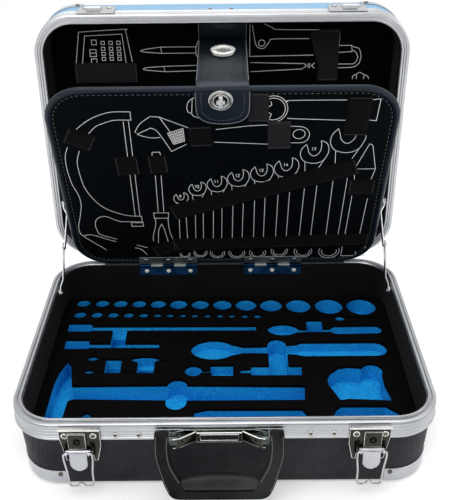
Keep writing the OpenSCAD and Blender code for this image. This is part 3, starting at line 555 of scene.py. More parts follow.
finishForms = {
    mouldedSheet: {
        "shellBlack": fill(0.0085, 0.0098, 0.0135, pitch=0.003, specular=0.1, depth=0.8, dots=(0.35, 3.2),
                           dotted=True),
        "shellBlue": fill(0.27, 0.53, 0.8, specular=0.4),
        "gripHard": fill(0.0014, 0.0017, 0.0022, pitch=0.0007, roughness=0.32, specular=0.035, depth=0.12),
        # light beads on the handle: painted highlights
        "gripBead": fill(0.085, 0.092, 0.1, pitch=0.0007, roughness=0.3, specular=0.3, depth=0.12),
        "gripSoft": fill(0.0026, 0.003, 0.0036, pitch=0.0005, roughness=0.34, specular=0.16, depth=0.2)},
    drawnMetal: {
        # one alloy in two copies, the lid frame's lighter than the base frame's: the difference is painted
        # light and shade
        "baseAlloy": fill(0.46, 0.47, 0.49, stretch=(14.0, 14.0, 1600.0), roughness=0.33),
        "lidAlloy": fill(0.56, 0.57, 0.59, stretch=(14.0, 1600.0, 14.0), roughness=0.33),
        "sheetAlloy": fill(0.5, 0.51, 0.54, stretch=(60.0, 60.0, 900.0), roughness=0.26, clouds=34.0,
                           contrast=0.1),
        "darkNickel": fill(0.042, 0.041, 0.035, stretch=90.0, roughness=0.12, radius=0.0004, clouds=90.0,
                           contrast=0.25, rubbed=3.0),
        "keyDark": fill(0.006, 0.006, 0.006, stretch=90.0),
        "chrome": fill(0.5, 0.51, 0.52, stretch=90.0, roughness=0.1, clouds=60.0, contrast=0.08),
        "satinSteel": fill(0.5, 0.51, 0.54, stretch=(500.0, 30.0, 30.0), roughness=0.36, contrast=0.08),
        "stayZinc": fill(0.5, 0.51, 0.53, stretch=(200.0, 30.0, 30.0), contrast=0.2),
        "rivetSteel": fill(0.13, 0.12, 0.1, roughness=0.25, contrast=0.25, rubbed=4.0),
        "eyeletNickel": fill(0.42, 0.41, 0.38, roughness=0.28, radius=0.0006, contrast=0.2, rubbed=2.6),
        # pale nickel for strips, rims and rings that stand as painted highlights
        "brightNickel": fill(0.72, 0.72, 0.7, roughness=0.22, contrast=0.15),
        "knobNickel": fill(0.85, 0.85, 0.83, roughness=0.5, contrast=0.2),
        # a mirror metal coloured dark grey-green: a painted dark reflection
        "darkMirror": fill(0.07, 0.085, 0.085, stretch=90.0, roughness=0.14, radius=0.0005, clouds=40.0,
                           contrast=0.2, rubbed=7.0),
        # the wall hinge leaf's mirror metal coloured deep blue: a painted reflection of the blue foam
        "blueMirror": fill(0.0035, 0.018, 0.05, stretch=60.0, roughness=0.14, radius=0.0005, clouds=30.0,
                           contrast=0.9, rubbed=9.0),
        # the board hinge leaf, mirror metal in the real case, coloured dull grey-green: a painted reflection
        "leafZinc": fill(0.24, 0.27, 0.26, stretch=60.0, roughness=0.55, radius=0.0005, clouds=30.0,
                         contrast=0.35, rubbed=2.6),
        # near-black for the bracket's recess: painted shade
        "recessDark": fill(0.016, 0.016, 0.016, roughness=0.5, contrast=0.3)},
    mattedFelt: {
        "lining": fill(0.0058, 0.0058, 0.0064, sheen=0.03),
        "rearPad": fill(0.005, 0.0048, 0.0054, scale=1300.0, depth=0.35, sheen=0.03)},
    cutFoam: {
        "foamDark": fill(0.0034, 0.003, 0.0034, cell=0.0009, contrast=0.5, specular=0.03),
        "foamBlue": fill(0.012, 0.34, 0.93, cell=0.0015, contrast=0.5),
        "ink": fill(0.9, 0.9, 0.9, cell=0.0008, contrast=0.1, depth=0.1, roughness=0.7),
        "thread": fill(0.14, 0.14, 0.15, cell=0.0006, contrast=0.4, depth=0.3, roughness=0.8)},
    grainedLeather: {
        "boardVinyl": fill(0.0012, 0.0019, 0.0025, roughness=0.7, specular=0.045),
        "boardBlack": fill(0.0012, 0.0012, 0.0015, roughness=0.75, specular=0.03),
        "binding": fill(0.005, 0.0075, 0.012, roughness=0.38, specular=0.36, pitch=0.0009),
        "strapHide": fill(0.0032, 0.0054, 0.0085, roughness=0.34, specular=0.46, pitch=0.0013),
        "strapEdge": fill(0.2, 0.215, 0.23, specular=0.4, pitch=0.0013)},
    wovenElastic: {
        "elastic": fill(0.0026, 0.0026, 0.003, sheen=0.04),
        "elasticGrey": fill(0.014, 0.014, 0.0165, sheen=0.12)},
}
finishes = {name: maker(name, **values)
            for maker, rows in finishForms.items() for name, values in rows.items()}

finishedNodes = {
    "darkNickel": "mount_plate handle_bracket latch_plates",
    "rivetSteel": "handle_pins front_rivets base_guard_rivets lid_guard_rivets latch_rivets strap_rivets",
    "chrome": "latch_pins bail_l bail_r catches catch_rivets butt_pins strap_eyelets",
    "keyDark": "lock_l lock_r", "satinSteel": "lever_l lever_r",
    "stayZinc": "case_leaves_base case_leaves_lid case_pins stay_brackets stay_low_l stay_low_r stay_up_l "
                "stay_up_r stay_pins_lid",
    "blueMirror": "butt_leaves_wall", "leafZinc": "butt_leaves_board",
    "eyeletNickel": "butt_screws_wall butt_screws_board turn_plate", "knobNickel": "turn_knob",
    "foamDark": "lid_backing foam_top", "foamBlue": "foam_base foam_wells foam_small foam_tools foam_front",
    "lining": "base_lining lid_lining", "rearPad": "rear_lining", "strapHide": "hinge_cover lid_strap",
    "boardBlack": "back_board", "boardVinyl": "front_board", "binding": "board_binding",
    "elastic": "board_bands back_bands", "gripHard": "handle", "gripSoft": "handle_grip",
    "shellBlack": "base_shell", "shellBlue": "lid_shell", "baseAlloy": "base_frame", "lidAlloy": "lid_frame",
    "sheetAlloy": "base_guards lid_guards",
}
for finishName, names in finishedNodes.items():
    for nodeName in names.split():
        nodes[nodeName].data.materials.clear()
        nodes[nodeName].data.materials.append(finishes[finishName])
print("finishes ready")


# ---- shells and frames

# insets from the case's outline at each level of the lid's or the base's own height
shellForm = {"base": [(15.2, 0), (11.5, 1.2), (8.5, 4), (7.0, 8), (6.6, 9)], "baseTop": (2.57, 89),
             "lid": [(11.3, 0), (6.6, 1.2), (2.9, 4), (1.1, 8), (0.8, 12)], "lidTop": (0.4, 44.4),
             "lidNeck": [(4.1, 44.4), (2.65, 62.6)]}


def shellProfile(which):
    # (inset, level) points up the outside: the rounded foot, then straight to the wall's top
    foot, top = shellForm[which], shellForm[which + "Top"]
    return smoothPath(foot + [top], 4, corner=90)[:4 * len(foot) - 3] + [top]


def outlineRing(inset, level):
    c = caseSize
    return [(x, y, level) for x, y in
            roundedOutline(c["width"] / 2 - inset, c["depth"] / 2 - inset, c["corner"] - inset, 18)]


def shellRings(which):
    wall = caseSize["wall"]
    outer = shellProfile(which)
    inner = [(i + wall, z) for i, z in outer if z > wall]
    if which == "lid":
        neck = shellForm["lidNeck"]
        outer += neck
        inner[-1] = (inner[-1][0], neck[0][1] - wall)
        inner += [(neck[0][0] + wall, neck[0][1] - wall), (neck[1][0] + wall, neck[1][1])]
    inner.insert(0, (inner[0][0] + 0.6, wall))
    return loft([outlineRing(*p) for p in outer + inner[::-1]])


makePiece("baseShell", [shellRings("base")], "shellBlack", "base", stands=["base_shell"])
makePiece("lidShell", [shellRings("lid")], "shellBlue", "lid", asLid, stands=["lid_shell"])

rimForm = {"height": 20, "width": 11, "ridge": 1.5, "groove": 1.9, "lidGap": 0.3}


def rimSection(ridge):
    h, t, rise, dip = (rimForm[k] for k in ("height", "width", "ridge", "groove"))
    outside = [(0, -h + 2.6), (-0.7, -h + 2.1), (-0.7, -h), (1.6, -h), (1.6, -2.8), (t - 1.4, -2.8),
               (t - 1.4, -9), (t, -9), (t, -0.8), (t - 0.8, 0)]
    if ridge:
        top = [(t - 1.1, 0), (t - 1.3, 1.1), (t - 1.8, rise), (t - 3.0, rise), (t - 3.5, 1.1), (t - 3.7, 0)]
    else:
        top = [(t - 0.95, 0), (t - 1.2, -dip), (t - 3.6, -dip), (t - 3.85, 0)]
    front = [(t - 4.6, 0), (t - 4.9, -1.3), (t - 6.3, -1.3), (t - 6.6, 0), (2.2, 0), (1.2, -0.3), (0.5, -0.9),
             (0.6, -1.5), (1.2, -1.8), (1.2, -2.9), (0.2, -3.3)]
    for deep, low, high in ((0.5, -6.0, -7.3), (0.5, -10.4, -11.7), (0.4, -14.6, -15.8)):  # drawn grooves
        front += [(0, low), (deep, low - 0.3), (deep, high + 0.3), (0, high)]
    return outside + top + front


for rimName, node, finish, body, place, level, ridge in (
        ("baseRim", "base_frame", "baseAlloy", "base", asBase, caseSize["baseHeight"], True),
        ("lidRim", "lid_frame", "lidAlloy", "lid", asLid, caseSize["lidHeight"] - rimForm["lidGap"], False)):
    form = roundRing([(i, z + level) for i, z in rimSection(ridge)], caseSize["width"] / 2,
                     caseSize["depth"] / 2, caseSize["corner"], 22)
    makePiece(rimName, [form], finish, body, place, stands=[node], sharp=25)

guardForm = {"fromX": 173, "fromY": 108, "low": 2.6, "bend": 12.5, "high": 21, "lift": 0.2, "thick": 1.0}


def guardOutline(inset, sx, sy):
    steps = 16
    halfW, halfD = caseSize["width"] / 2 - inset, caseSize["depth"] / 2 - inset
    r = caseSize["corner"] - inset
    points = [(guardForm["fromX"], halfD)]
    for i in range(steps + 1):
        c, s = cosSin(90 - 90 * i / steps)
        points.append((halfW - r + r * c, halfD - r + r * s))
    points.append((halfW, guardForm["fromY"]))
    return [(sx * x, sy * y) for x, y in points]


def guardForms(which):
    profile = shellProfile(which)
    levels = [p for p in profile if guardForm["low"] <= p[1] < guardForm["bend"]]
    (i0, z0), (i1, z1) = profile[-2:]
    levels.append((i0 + (i1 - i0) * (guardForm["high"] - z0) / (z1 - z0), guardForm["high"]))
    forms = []
    for sx in (-1, 1):
        for sy in (-1, 1):
            rings = []
            for away in (guardForm["lift"], guardForm["lift"] + guardForm["thick"]):
                rows = []
                for k, (inset, z) in enumerate(levels):
                    a = levels[max(0, k - 1)]
                    b = levels[min(len(levels) - 1, k + 1)]
                    slope = Vector((b[0] - a[0], b[1] - a[1])).normalized()
                    rows.append([(x, y, z + slope.x * away) for x, y in
                                 guardOutline(inset - slope.y * away, sx, sy)])
                rings.append(rows)
            rings = rings[0] + rings[1][::-1]
            forms.append(loft([[ring[k] for ring in rings] for k in range(len(rings[0]))]))
    return forms


makePiece("baseGuards", guardForms("base"), "sheetAlloy", "base", stands=["base_guards"],
          bevel=0.3)
makePiece("lidGuards", guardForms("lid"), "sheetAlloy", "lid", asLid, stands=["lid_guards"],
          bevel=0.3)
print("shells and frames ready")


# ---- linings and foam

liningSize = {"halfW": 220.2, "halfD": 155.2, "corner": 40.2, "foot": 14.6, "baseTop": 2.2, "lidFoot": 45.5,
              "lidTop": 9.6}


def liningForm(low, high):
    # a felt strip round the inside of the frame, thicker along its top edge
    section = [(0, low), (0, high - 8), (1.3, high - 6.9), (1.3, high - 0.4), (1.6, high), (2.2, high),
               (2.6, high - 0.5)]
    section += [(2.6, high - 0.5 - (high - low - 1) * k / 6) for k in range(1, 7)]
    return roundRing(section, liningSize["halfW"], liningSize["halfD"], liningSize["corner"])


makePiece("baseLining", [liningForm(liningSize["foot"], caseSize["baseHeight"] - liningSize["baseTop"])],
          "lining", "base", stands=["base_lining"])
makePiece("lidLining", [liningForm(*(caseSize["lidHeight"] - liningSize[k] for k in ("lidFoot", "lidTop")))],
          "lining", "lid", asLid, stands=["lid_lining"])

rearPadForm = {"front": 135.4, "low": 14.6, "foot": 49.4, "lipY": 152.1, "lipZ": 89.6, "back": 153.2,
               "crown": 0.9, "endX": 180, "endY": 115, "endRadius": 38, "endGap": 0.4, "columns": 48}


def rearPad():
    f = rearPadForm
    slope = []
    for k in range(13):
        t = k / 12
        bulge = f["crown"] * math.sin(math.pi * t) ** 0.7
        slope.append((f["front"] + (f["lipY"] - f["front"]) * t - bulge * 0.92,
                      f["foot"] + (f["lipZ"] - f["foot"]) * t + bulge * 0.38))
    section = [(f["front"], f["low"])] + slope + [(f["back"], f["lipZ"]), (f["back"], f["low"])]
    # its ends follow the lining's round corners
    reach = [f["endX"] + math.sqrt(max(0, f["endRadius"] ** 2 - max(0, y - f["endY"]) ** 2)) - f["endGap"]
             for y, z in section]
    return loft([[((-1 + 2 * c / f["columns"]) * x, y, z) for x, (y, z) in zip(reach, section)]
                 for c in range(f["columns"] + 1)])


rearCushion = makePiece("rearPad", [rearPad()], "rearPad", "base", stands=["rear_lining"])

fromNode("foamSheet", "foam_top", "foamDark", "base", bevel=0.9)
for pieceName, node in (("foamWells", "foam_wells"), ("foamSmall", "foam_small"), ("foamTools", "foam_tools"),
                        ("foamFront", "foam_front"), ("foamSlab", "foam_base")):
    fromNode(pieceName, node, "foamBlue", "base", bevel=0.5)
print("linings and foam ready")


# ---- tool board

boardSections = [(2.0, -7.0), (1.0, -6.4), (1.0, -3.6), (1.6, -3.1), (8.6, -2.95), (9.4, -3.3), (10.2, -2.95),
                 (16, -2.9)]


def boardRing(inset, level):
    b = boardSize
    return [(x, y + b["middle"], level) for x, y in
            roundedOutline(b["width"] / 2 - inset, b["height"] / 2 - inset, b["corner"] - inset)]


makePiece("toolBoard", [loft([boardRing(*p) for p in boardSections])], "boardVinyl", "board",
          onBoard, stands=["front_board"], sharp=60)

bindingForm = {"section": [(7.2, -2.85), (6.4, -2.5), (5.0, -1.9), (3.0, -1.75), (1.4, -2.5), (0.3, -3.8),
                           (0, -5.2), (0.4, -6.7), (1.6, -7.7), (4.0, -8.1), (7.0, -7.9), (7.2, -7.1)]}
makePiece("boardPiping", [roundRing(smoothPath(bindingForm["section"], 2, 80, closed=True),
                                    boardSize["width"] / 2, boardSize["height"] / 2, boardSize["corner"], 16,
                                    (0, boardSize["middle"]))],
          "binding", "board", onBoard, stands=["board_binding"], sharp=70)
makePiece("boardStitching", stitches(boardRing(9.4, -3.02), pitch=6.2, share=0.55, wide=0.8, loop=True),
          "thread", "board", onBoard)

# across, up, out: size along the band, across it, and the turn of its length
boardBands = [(-166.3, 229.4, 33, 25, -25), (-115, 186.4, 27.5, 30, 3), (-77.9, 188.4, 22.5, 29, 4),
              (-25.2, 232.5, 30, 26, 93), (40.8, 274.3, 40, 22.5, 89), (65.4, 233.2, 41, 26.5, 91.5),
              (153.3, 260.2, 56, 27, 89), (171, 147.5, 31.5, 25.5, 0), (47.7, 143.2, 240, 26, 19.2),
              (61.8, 45.2, 259.5, 22, 2), (-78, 33, 34, 20, 22.6)]
backBands = [(-150, 250.5, 80, 26, 0), (136, 271, 66, 26, 90)]
backPleat = [(111.5, 300), (113, 301), (123.6, 301), (124.2, 300), (122.9, 262), (121.2, 262)]
bandForm = {"thick": 1.1, "hem": 1.55, "hemLength": 3.2, "crown": 0.7,
            "section": [(-1, 0), (-1, 0.55), (-0.95, 1), (-0.5, 1), (0, 1), (0.5, 1), (0.95, 1), (1, 0.55),
                        (1, 0)]}


def elasticBand(u, v, length, width, angle, base):
    f = bandForm
    count = max(12, int(length / 4))
    stops = [0, 0.4, f["hemLength"], f["hemLength"] + 0.6]
    stops += [f["hemLength"] + 0.6 + (length - 2 * f["hemLength"] - 1.2) * k / count for k in range(1, count)]
    stops += [length - f["hemLength"] - 0.6, length - f["hemLength"], length - 0.4, length]
    c, s = cosSin(angle)
    rings, lay = [], []
    for x in stops:
        t = x / length
        ends = min(x, length - x)
        high = f["hem"] if ends <= f["hemLength"] else f["thick"]
        if ends < 0.1:
            high *= 0.5
        crown = f["crown"] * math.sin(math.pi * t) ** 0.6 if ends > f["hemLength"] else 0.05
        half = width / 2 * (1 - 0.025 * math.sin(math.pi * t)) + (0.25 if ends <= f["hemLength"] else 0)
        ring = []
        for across, lift in f["section"]:
            y = across * half
            z = lift * high + (crown * (1 - abs(across) ** 3) if lift == 1 else 0)
            ring.append((u + (x - length / 2) * c - y * s, v + (x - length / 2) * s + y * c, base + z))
            lay.append((x, y))
        rings.append(ring)
    points, faces = loft(rings)
    return (points, faces), lay


def makeBands(name, rows, base, finish, body, place, stands=()):
    forms, lays, rowsOfStitches = [], [], []
    for u, v, length, width, angle in rows:
        form, lay = elasticBand(u, v, length, width, angle, base)
        forms.append(form)
        lays += lay
        c, s = cosSin(angle)
        for x in (-length / 2 + 1.6, length / 2 - 1.6):
            ends = [(u + x * c - y * s, v + x * s + y * c, base + bandForm["hem"] + 0.05)
                    for y in (-width / 2 + 1.2, width / 2 - 1.2)]
            rowsOfStitches += stitches(ends, pitch=2.3, share=0.7, wide=0.5, high=0.4)
    makePiece(name, forms, finish, body, place, stands=stands, sharp=60, lay=lays)
    makePiece(name + "Stitching", rowsOfStitches, "thread", body, place)


makeBands("boardBands", boardBands[:4] + boardBands[6:], boardSize["face"], "elastic", "board", onBoard,
          stands=["board_bands"])
makeBands("boardBandsGrey", boardBands[4:6], boardSize["face"], "elasticGrey", "board", onBoard)
makeBands("backBands", backBands, 0, "elasticGrey", "lid", onBackBoard, stands=["back_bands"])
pleat = slab(backPleat, 0, bandForm["thick"])
makePiece("backPleat", [pleat], "elasticGrey", "lid", onBackBoard, bevel=0.3,
          lay=[(v, u) for u, v, w in pleat[0]])
print("boards and bands ready")


# ---- printed tool outlines

frontPrints = {
    "saw": [
        [(-168.1, 244.1), (-153, 257.1), (-137.9, 265.2), (-123.8, 269.2), (-103.7, 269.2), (-103.7, 257.1),
         (-122.8, 257.1), (-134.9, 253.1), (-145, 248.1), (-155, 237)],
        [(-182.2, 216.9), (-187.2, 201.8), (-188.3, 181.7), (-186.2, 156.5), (-181.2, 137.4), (-180.2, 119.3),
         (-185.2, 95.1), (-189.3, 79), (-189.3, 65.9), (-185.2, 58.9), (-171.1, 43.8), (-158.1, 30.7)],
        [(-169.1, 210.8), (-174.2, 193.7), (-174.2, 172.6), (-171.1, 148.4), (-161.1, 125.3), (-149, 111.2),
         (-132.9, 102.1), (-120.8, 98.1), (-105.7, 97.1), (-105.7, 86), (-121.8, 87), (-135.9, 88),
         (-149, 96.1), (-156, 97.1), (-163.1, 93.1), (-167.1, 83), (-166.1, 69.9), (-162.1, 61.9),
         (-142, 52.8)],
        [(-185.2, 59.9), (-179.2, 61.9), (-171.1, 60.9), (-157, 53.8), (-144, 47.8)],
        [(-112.8, 255.1), (-113.8, 98.1)], [(-106.7, 255.1), (-107.7, 98.1)],
        [(-119.8, 78), (-104.7, 78), (-104.7, 85), (-119.8, 85), (-119.8, 78)]],
    "spinner": [
        [(-84.6, 195.7), (-83.6, 207.8), (-74.5, 207.8), (-73.5, 198.8)],
        [(-82.6, 169.6), (-83.6, 105.2)], [(-75.5, 169.6), (-76.5, 105.2)],
        [(-89.6, 103.1), (-70.5, 103.1), (-71.5, 93.1), (-89.6, 93.1), (-89.6, 103.1)],
        [(-88.6, 93), (-88.6, 80), (-93.6, 57.9), (-93.6, 47.8)], [(-71.9, 93), (-71.5, 70.9), (-67.5, 49.8)],
        [(-87.6, 44.8), (-85.6, 68.9), (-80.6, 82), (-77.5, 68.9), (-74.5, 46.8)],
        [(-116.8, 40.7), (-102.7, 34.7)], [(-119.8, 34.7), (-111.8, 31.7), (-104.7, 20.6)]],
    "wrench": [
        [(-99.7, 238), (-100.7, 240), (-93.6, 252.1), (-81.6, 262.2), (-71.5, 261.2), (-60.4, 239)],
        [(-71.5, 261.2), (-43.3, 247.1), (-37.3, 244.1)],
        [(-98.7, 236), (-82.6, 245.1), (-74.5, 239), (-60.4, 208.8), (-42.3, 219.9)],
        [(-98.7, 236), (-92.6, 233), (-81.6, 230), (-72.5, 231)],
        [(-63.4, 237), (-45.3, 244.1), (-44.3, 224.9), (-57.4, 219.9), (-63.4, 237)],
        [(-10.1, 222.9), (53.3, 218.9)], [(-8, 242), (31.2, 247.1), (51.3, 248.1)],
        [(76.5, 246.1), (90.6, 245.1), (97.6, 241), (100.6, 233), (98.6, 224.9), (92.6, 220.9),
         (79.5, 220.9)]],
    "scraper": [
        [(-30.6, 288.4), (-33.9, 286.5), (-38, 281.5), (-39.6, 274.4), (-38.6, 268.2), (-34.7, 265.6),
         (-31.6, 261.6), (-18.9, 257.1)], [(-33.1, 286.5), (-34.4, 266.6)],
        [(54.3, 282.3), (55.3, 277.3), (52.3, 274.3)], [(52.3, 266.2), (55.3, 264.2), (53.3, 258.2)],
        [(73.4, 281.3), (76.5, 283.3), (138.9, 283.3)], [(74.5, 258.2), (80.5, 257.1), (139.9, 254.1)],
        [(167.1, 283.3), (176.1, 284.3), (175.1, 253.1), (167.1, 254.1)]],
    "chisel": [
        [(159, 177.6), (172.1, 217.9), (176.1, 215.9), (184.2, 177.6), (159, 177.6)],
        [(159, 177.6), (161, 157.5)], [(184.2, 177.6), (181.1, 158.5)],
        [(181.1, 126.3), (179.1, 51.8)], [(161, 131.3), (160, 58.9)],
        [(159, 33.7), (159, 14.6), (190.2, 14.6), (190.2, 33.7)], [(178.1, 23.6), (178.1, 14.6)]],
}
backPrints = {
    "meter": [
        [(-187.9, 263.4), (-181, 303.4), (-124.7, 306.4), (-121.7, 305.4), (-115.5, 264.4)],
        [(-179.8, 263.4), (-173.9, 298.4), (-126.7, 300.4), (-123.6, 263.4)]],
    "probes": [
        [(-104.5, 278.7), (-99, 280.6), (-78.4, 283.4)], [(-78.4, 283.4), (-33.2, 283.4)],
        [(-104.5, 278.7), (-99, 277.2), (-77.4, 275.4)], [(-77.4, 275.4), (-33.2, 275.4)],
        [(-78.4, 283.4), (-77.4, 275.4)],
        [(-102.5, 255), (-97, 257), (-75.4, 258.4)], [(-75.4, 258.4), (-33.2, 259.4)],
        [(-102.5, 255), (-97, 253.6), (-74.3, 251.4)], [(-74.3, 251.4), (-33.2, 252.4)],
        [(-75.4, 258.4), (-74.3, 251.4)],
        [(-28.2, 308.4), (-28.2, 295.4), (-33.2, 283.4), (-33.2, 273.4), (-30.2, 269.4)]],
    "bracket": [
        [(38.2, 310.4), (42.2, 287.4), (46.2, 281.4), (50.2, 280.4), (54.2, 281.4), (60.3, 289.4),
         (65.3, 292.4), (110.5, 292.4)],
        [(53.3, 311.4), (64.3, 306.4), (70.3, 304.4), (122.6, 303.4)],
        [(34.1, 270.4), (116.5, 271.4)], [(36.1, 262.4), (103.4, 260.4)], [(36.1, 250.4), (103.4, 253.4)],
        [(104, 261.2), (108.3, 257.8), (104, 254.1)], [(118.7, 261.2), (114.8, 257.8), (118.7, 254.1)],
        [(110.3, 260.8), (110.3, 254.5)], [(112.6, 260.8), (112.6, 254.5)],
        [(35.1, 271.4), (35.2, 311.4)]],
    "loop": [
        [(147.7, 283.4), (164.8, 283.4), (165.8, 275.4), (148.7, 274.4), (147.7, 283.4)],
        [(164.8, 282.4), (174.8, 279.4), (177.8, 269.4), (175.8, 260.4), (168.7, 255.4), (147.6, 254.4)],
        [(165.8, 277.4), (170.8, 274.4), (173.8, 268.4), (171.8, 262.4), (168.7, 259.4), (147.6, 259.4)],
        [(148.8, 302.4), (148.7, 284.4), (147.7, 271.4)],
        [(168.7, 239.4), (168.7, 243.4), (177.7, 248.4), (188.8, 242.4), (189.8, 239.4)],
        [(173.7, 239.4), (173.7, 245.4)], [(182.7, 239.4), (183.8, 244.4)]],
}
spannerHeads = [(-53.3, 129.4, 9.2, "8"), (-32, 145.7, 11, "10"), (-7.5, 153.6, 12.5, "11"),
                (18.6, 163.5, 13.4, "12"), (47.1, 171.7, 14, "13"), (76.6, 180.5, 14.9, "14"),
                (108.5, 205.1, 16.8, "17"), (145.9, 225.8, 20.5, "")]
spannerShanks = [(-57.4, 91.1, -58.4), (-48.3, 94.1, -48.3), (-36.3, 98.1, -37.3), (-26.2, 101.1, -27.2),
                 (-13.1, 106.2, -14.1), (-2.0, 110.2, -3.0), (12.0, 115.2, 11.0), (25.1, 119.3, 24.1),
                 (39.2, 124.3, 39.2), (52.3, 129.3, 52.3), (68.4, 134.3, 68.4), (82.5, 138.4, 82.5),
                 (100.6, 145.4, 99.6), (115.7, 150.5, 114.7), (134.8, 157.5, 134.8), (152.0, 162.5, 150.9)]
ringEnds = [(-53, 20.6, 7), (-32.2, 23.6, 9), (-9.1, 22.6, 10), (17.1, 22.6, 11), (45.3, 22.6, 11),
            (74.5, 25.6, 11), (106.7, 24.6, 12), (141.9, 24.6, 14)]
digitStrokes = {
    "0": [[(0, 0), (2, 0), (2, 4), (0, 4), (0, 0)]], "1": [[(0.4, 3.2), (1.2, 4), (1.2, 0)]],
    "2": [[(0, 3.4), (0.6, 4), (1.6, 4), (2, 3.2), (0, 0), (2, 0)]],
    "3": [[(0, 4), (2, 4), (0.9, 2.4), (2, 1.6), (1.6, 0.2), (0, 0)]],
    "4": [[(1.5, 0), (1.5, 4), (0, 1.2), (2.2, 1.2)]], "7": [[(0, 4), (2, 4), (0.8, 0)]],
    "8": [[(0.3, 2.1), (0, 3.2), (1, 4), (2, 3.2), (0.2, 1), (1, 0), (2, 1), (0.3, 2.1)]],
    "9": [[(2, 2.4), (0.4, 2), (0, 3.2), (1, 4), (2, 3.4), (1.8, 1), (0.6, 0)]],
}


def printedNumber(text, u, v, high):
    s = high / 4
    start = u - (len(text) * 2.9 - 0.9) * s / 2
    return [[(start + (x + 2.9 * i) * s, v + y * s) for x, y in stroke]
            for i, digit in enumerate(text) for stroke in digitStrokes[digit]]


def spannerOutline(u, v, r, text):
    outer = [(-0.61, 0.77), (-0.9, 0.36), (-0.99, -0.14), (-0.85, -0.6), (-0.62, -0.87), (-0.3, -1.0),
             (0.04, -1.04), (0.4, -0.96), (0.74, -0.68), (0.95, -0.14), (1.0, 0.14), (0.92, 0.65),
             (0.7, 0.96), (0.39, 1.1)]
    inner = [(0.39, 1.1), (0.45, 0.72), (0.44, 0.36), (0.36, 0), (0.1, -0.29), (-0.15, -0.29), (-0.38, -0.03),
             (-0.48, 0.36), (-0.61, 0.77)]
    lines = [smoothPath(outer, 3, 60), smoothPath(inner, 3, 60),
             [(-0.62, -0.87), (-0.55, -1.9)], [(0.74, -0.68), (0.39, -1.53)]]
    placed = [[(u + r * x, v + r * y) for x, y in line] for line in lines]
    return placed + printedNumber(text, u - r * 0.08, v + r * 0.2, 4.2)


def arcLine(u, v, r, start, end, count=14, tall=1.0):
    turns = [cosSin(start + (end - start) * k / count) for k in range(count + 1)]
    return [(u + r * c, v + r * tall * s) for c, s in turns]


def boxLine(u, v, halfU, halfV):
    return [(u + a * halfU, v + b * halfV) for a, b in ((-1, -1), (1, -1), (1, 1), (-1, 1), (-1, -1))]


frontLines = [smoothPath(line, 4, 42) for lines in frontPrints.values() for line in lines]
for head in spannerHeads:
    frontLines += spannerOutline(*head)
frontLines += [[(top, high), (foot, 53)] for top, high, foot in spannerShanks]
for u, v, r in ringEnds:
    frontLines += [arcLine(u, v, r, 155, 385), arcLine(u, v, r * 0.72, 165, 375)]
frontLines.append(arcLine(88.5, 234, 7, 0, 360, 24))
frontLines += [arcLine(57.2, 271.2, 16.3, 122, -115, 32, 1.15),
               arcLine(57.2, 271.2, 13.5, 112, -108, 32, 1.15)]
for k in range(1, 9):  # the wrench's knurled wheel
    t = k / 9
    frontLines.append([(-63.4 + 18.1 * t, 237 + 7.1 * t), (-57.4 + 13.1 * t, 219.9 + 5 * t)])
for k in range(1, 5):
    t = k / 5
    frontLines.append([(-63.4 + 6 * t, 237 - 17.1 * t), (-45.3 + t, 244.1 - 19.2 * t)])
backLines = [smoothPath(line, 4, 42) for lines in backPrints.values() for line in lines]
for u in (-151.7, -141.7, -131.7):
    for v in (289.4, 281.9, 275.4, 268.9):
        backLines.append(boxLine(u, v, 2.2, 2))
backLines += [boxLine(-162.8, 290.2, 3, 3), boxLine(-165, 276.5, 4, 4.5), [(-169, 276.5), (-161, 276.5)],
              [(-168, 269), (-168, 264)], [(-161, 269), (-161, 264)], [(-168, 269), (-161, 269)]]
backLines.append(arcLine(50.2, 287.4, 4, 0, 360, 20))
makePiece("boardPrint", [inkLine(line) for line in frontLines], "ink", "board", onBoard)
makePiece("backPrint", [inkLine(line, 0.72, -0.05, 0.12) for line in backLines], "ink", "lid",
          onBackBoard)
print("prints ready")


# ---- strap

strapForm = {"left": -28.6, "right": 29.8, "thick": 1.7, "splitY": 66, "tailX": 0.6, "tailTop": 282,
             "tailWide": 30,
             "path": [(183.5, 413.2), (186, 404), (192, 394.5), (198, 390.8), (188, 389.4), (150, 386.2),
                      (112, 381.6), (90, 380.4), (62, 381.8), (55.5, 381.8), (51.8, 380.2), (50.9, 377.6),
                      (51.2, 376.2)],
             "section": [(-1, 0), (-0.985, 0.7), (-0.95, 1), (-0.5, 1.12), (0, 1.18), (0.5, 1.12), (0.95, 1),
                         (0.985, 0.7), (1, 0), (0.985, -0.7), (0.95, -1), (0, -1), (-0.95, -1),
                         (-0.985, -0.7)]}


def strapRun(path):
    # a flat band with rounded edges and a slight crown, along (Y, Z)
    half = strapForm["thick"] / 2
    left, right = strapForm["left"], strapForm["right"]
    middle, wide = (left + right) / 2, (right - left) / 2
    rings = []
    for i, p in enumerate(path):
        a, b = Vector(path[max(0, i - 1)]), Vector(path[min(len(path) - 1, i + 1)])
        along = (b - a).normalized()
        up = Vector((along.y, -along.x))
        ring = []
        for x, z in strapForm["section"]:
            q = Vector(p) + up * (z * half)
            ring.append((middle + x * wide, q.x, q.y))
        rings.append(ring)
    return loft(rings)


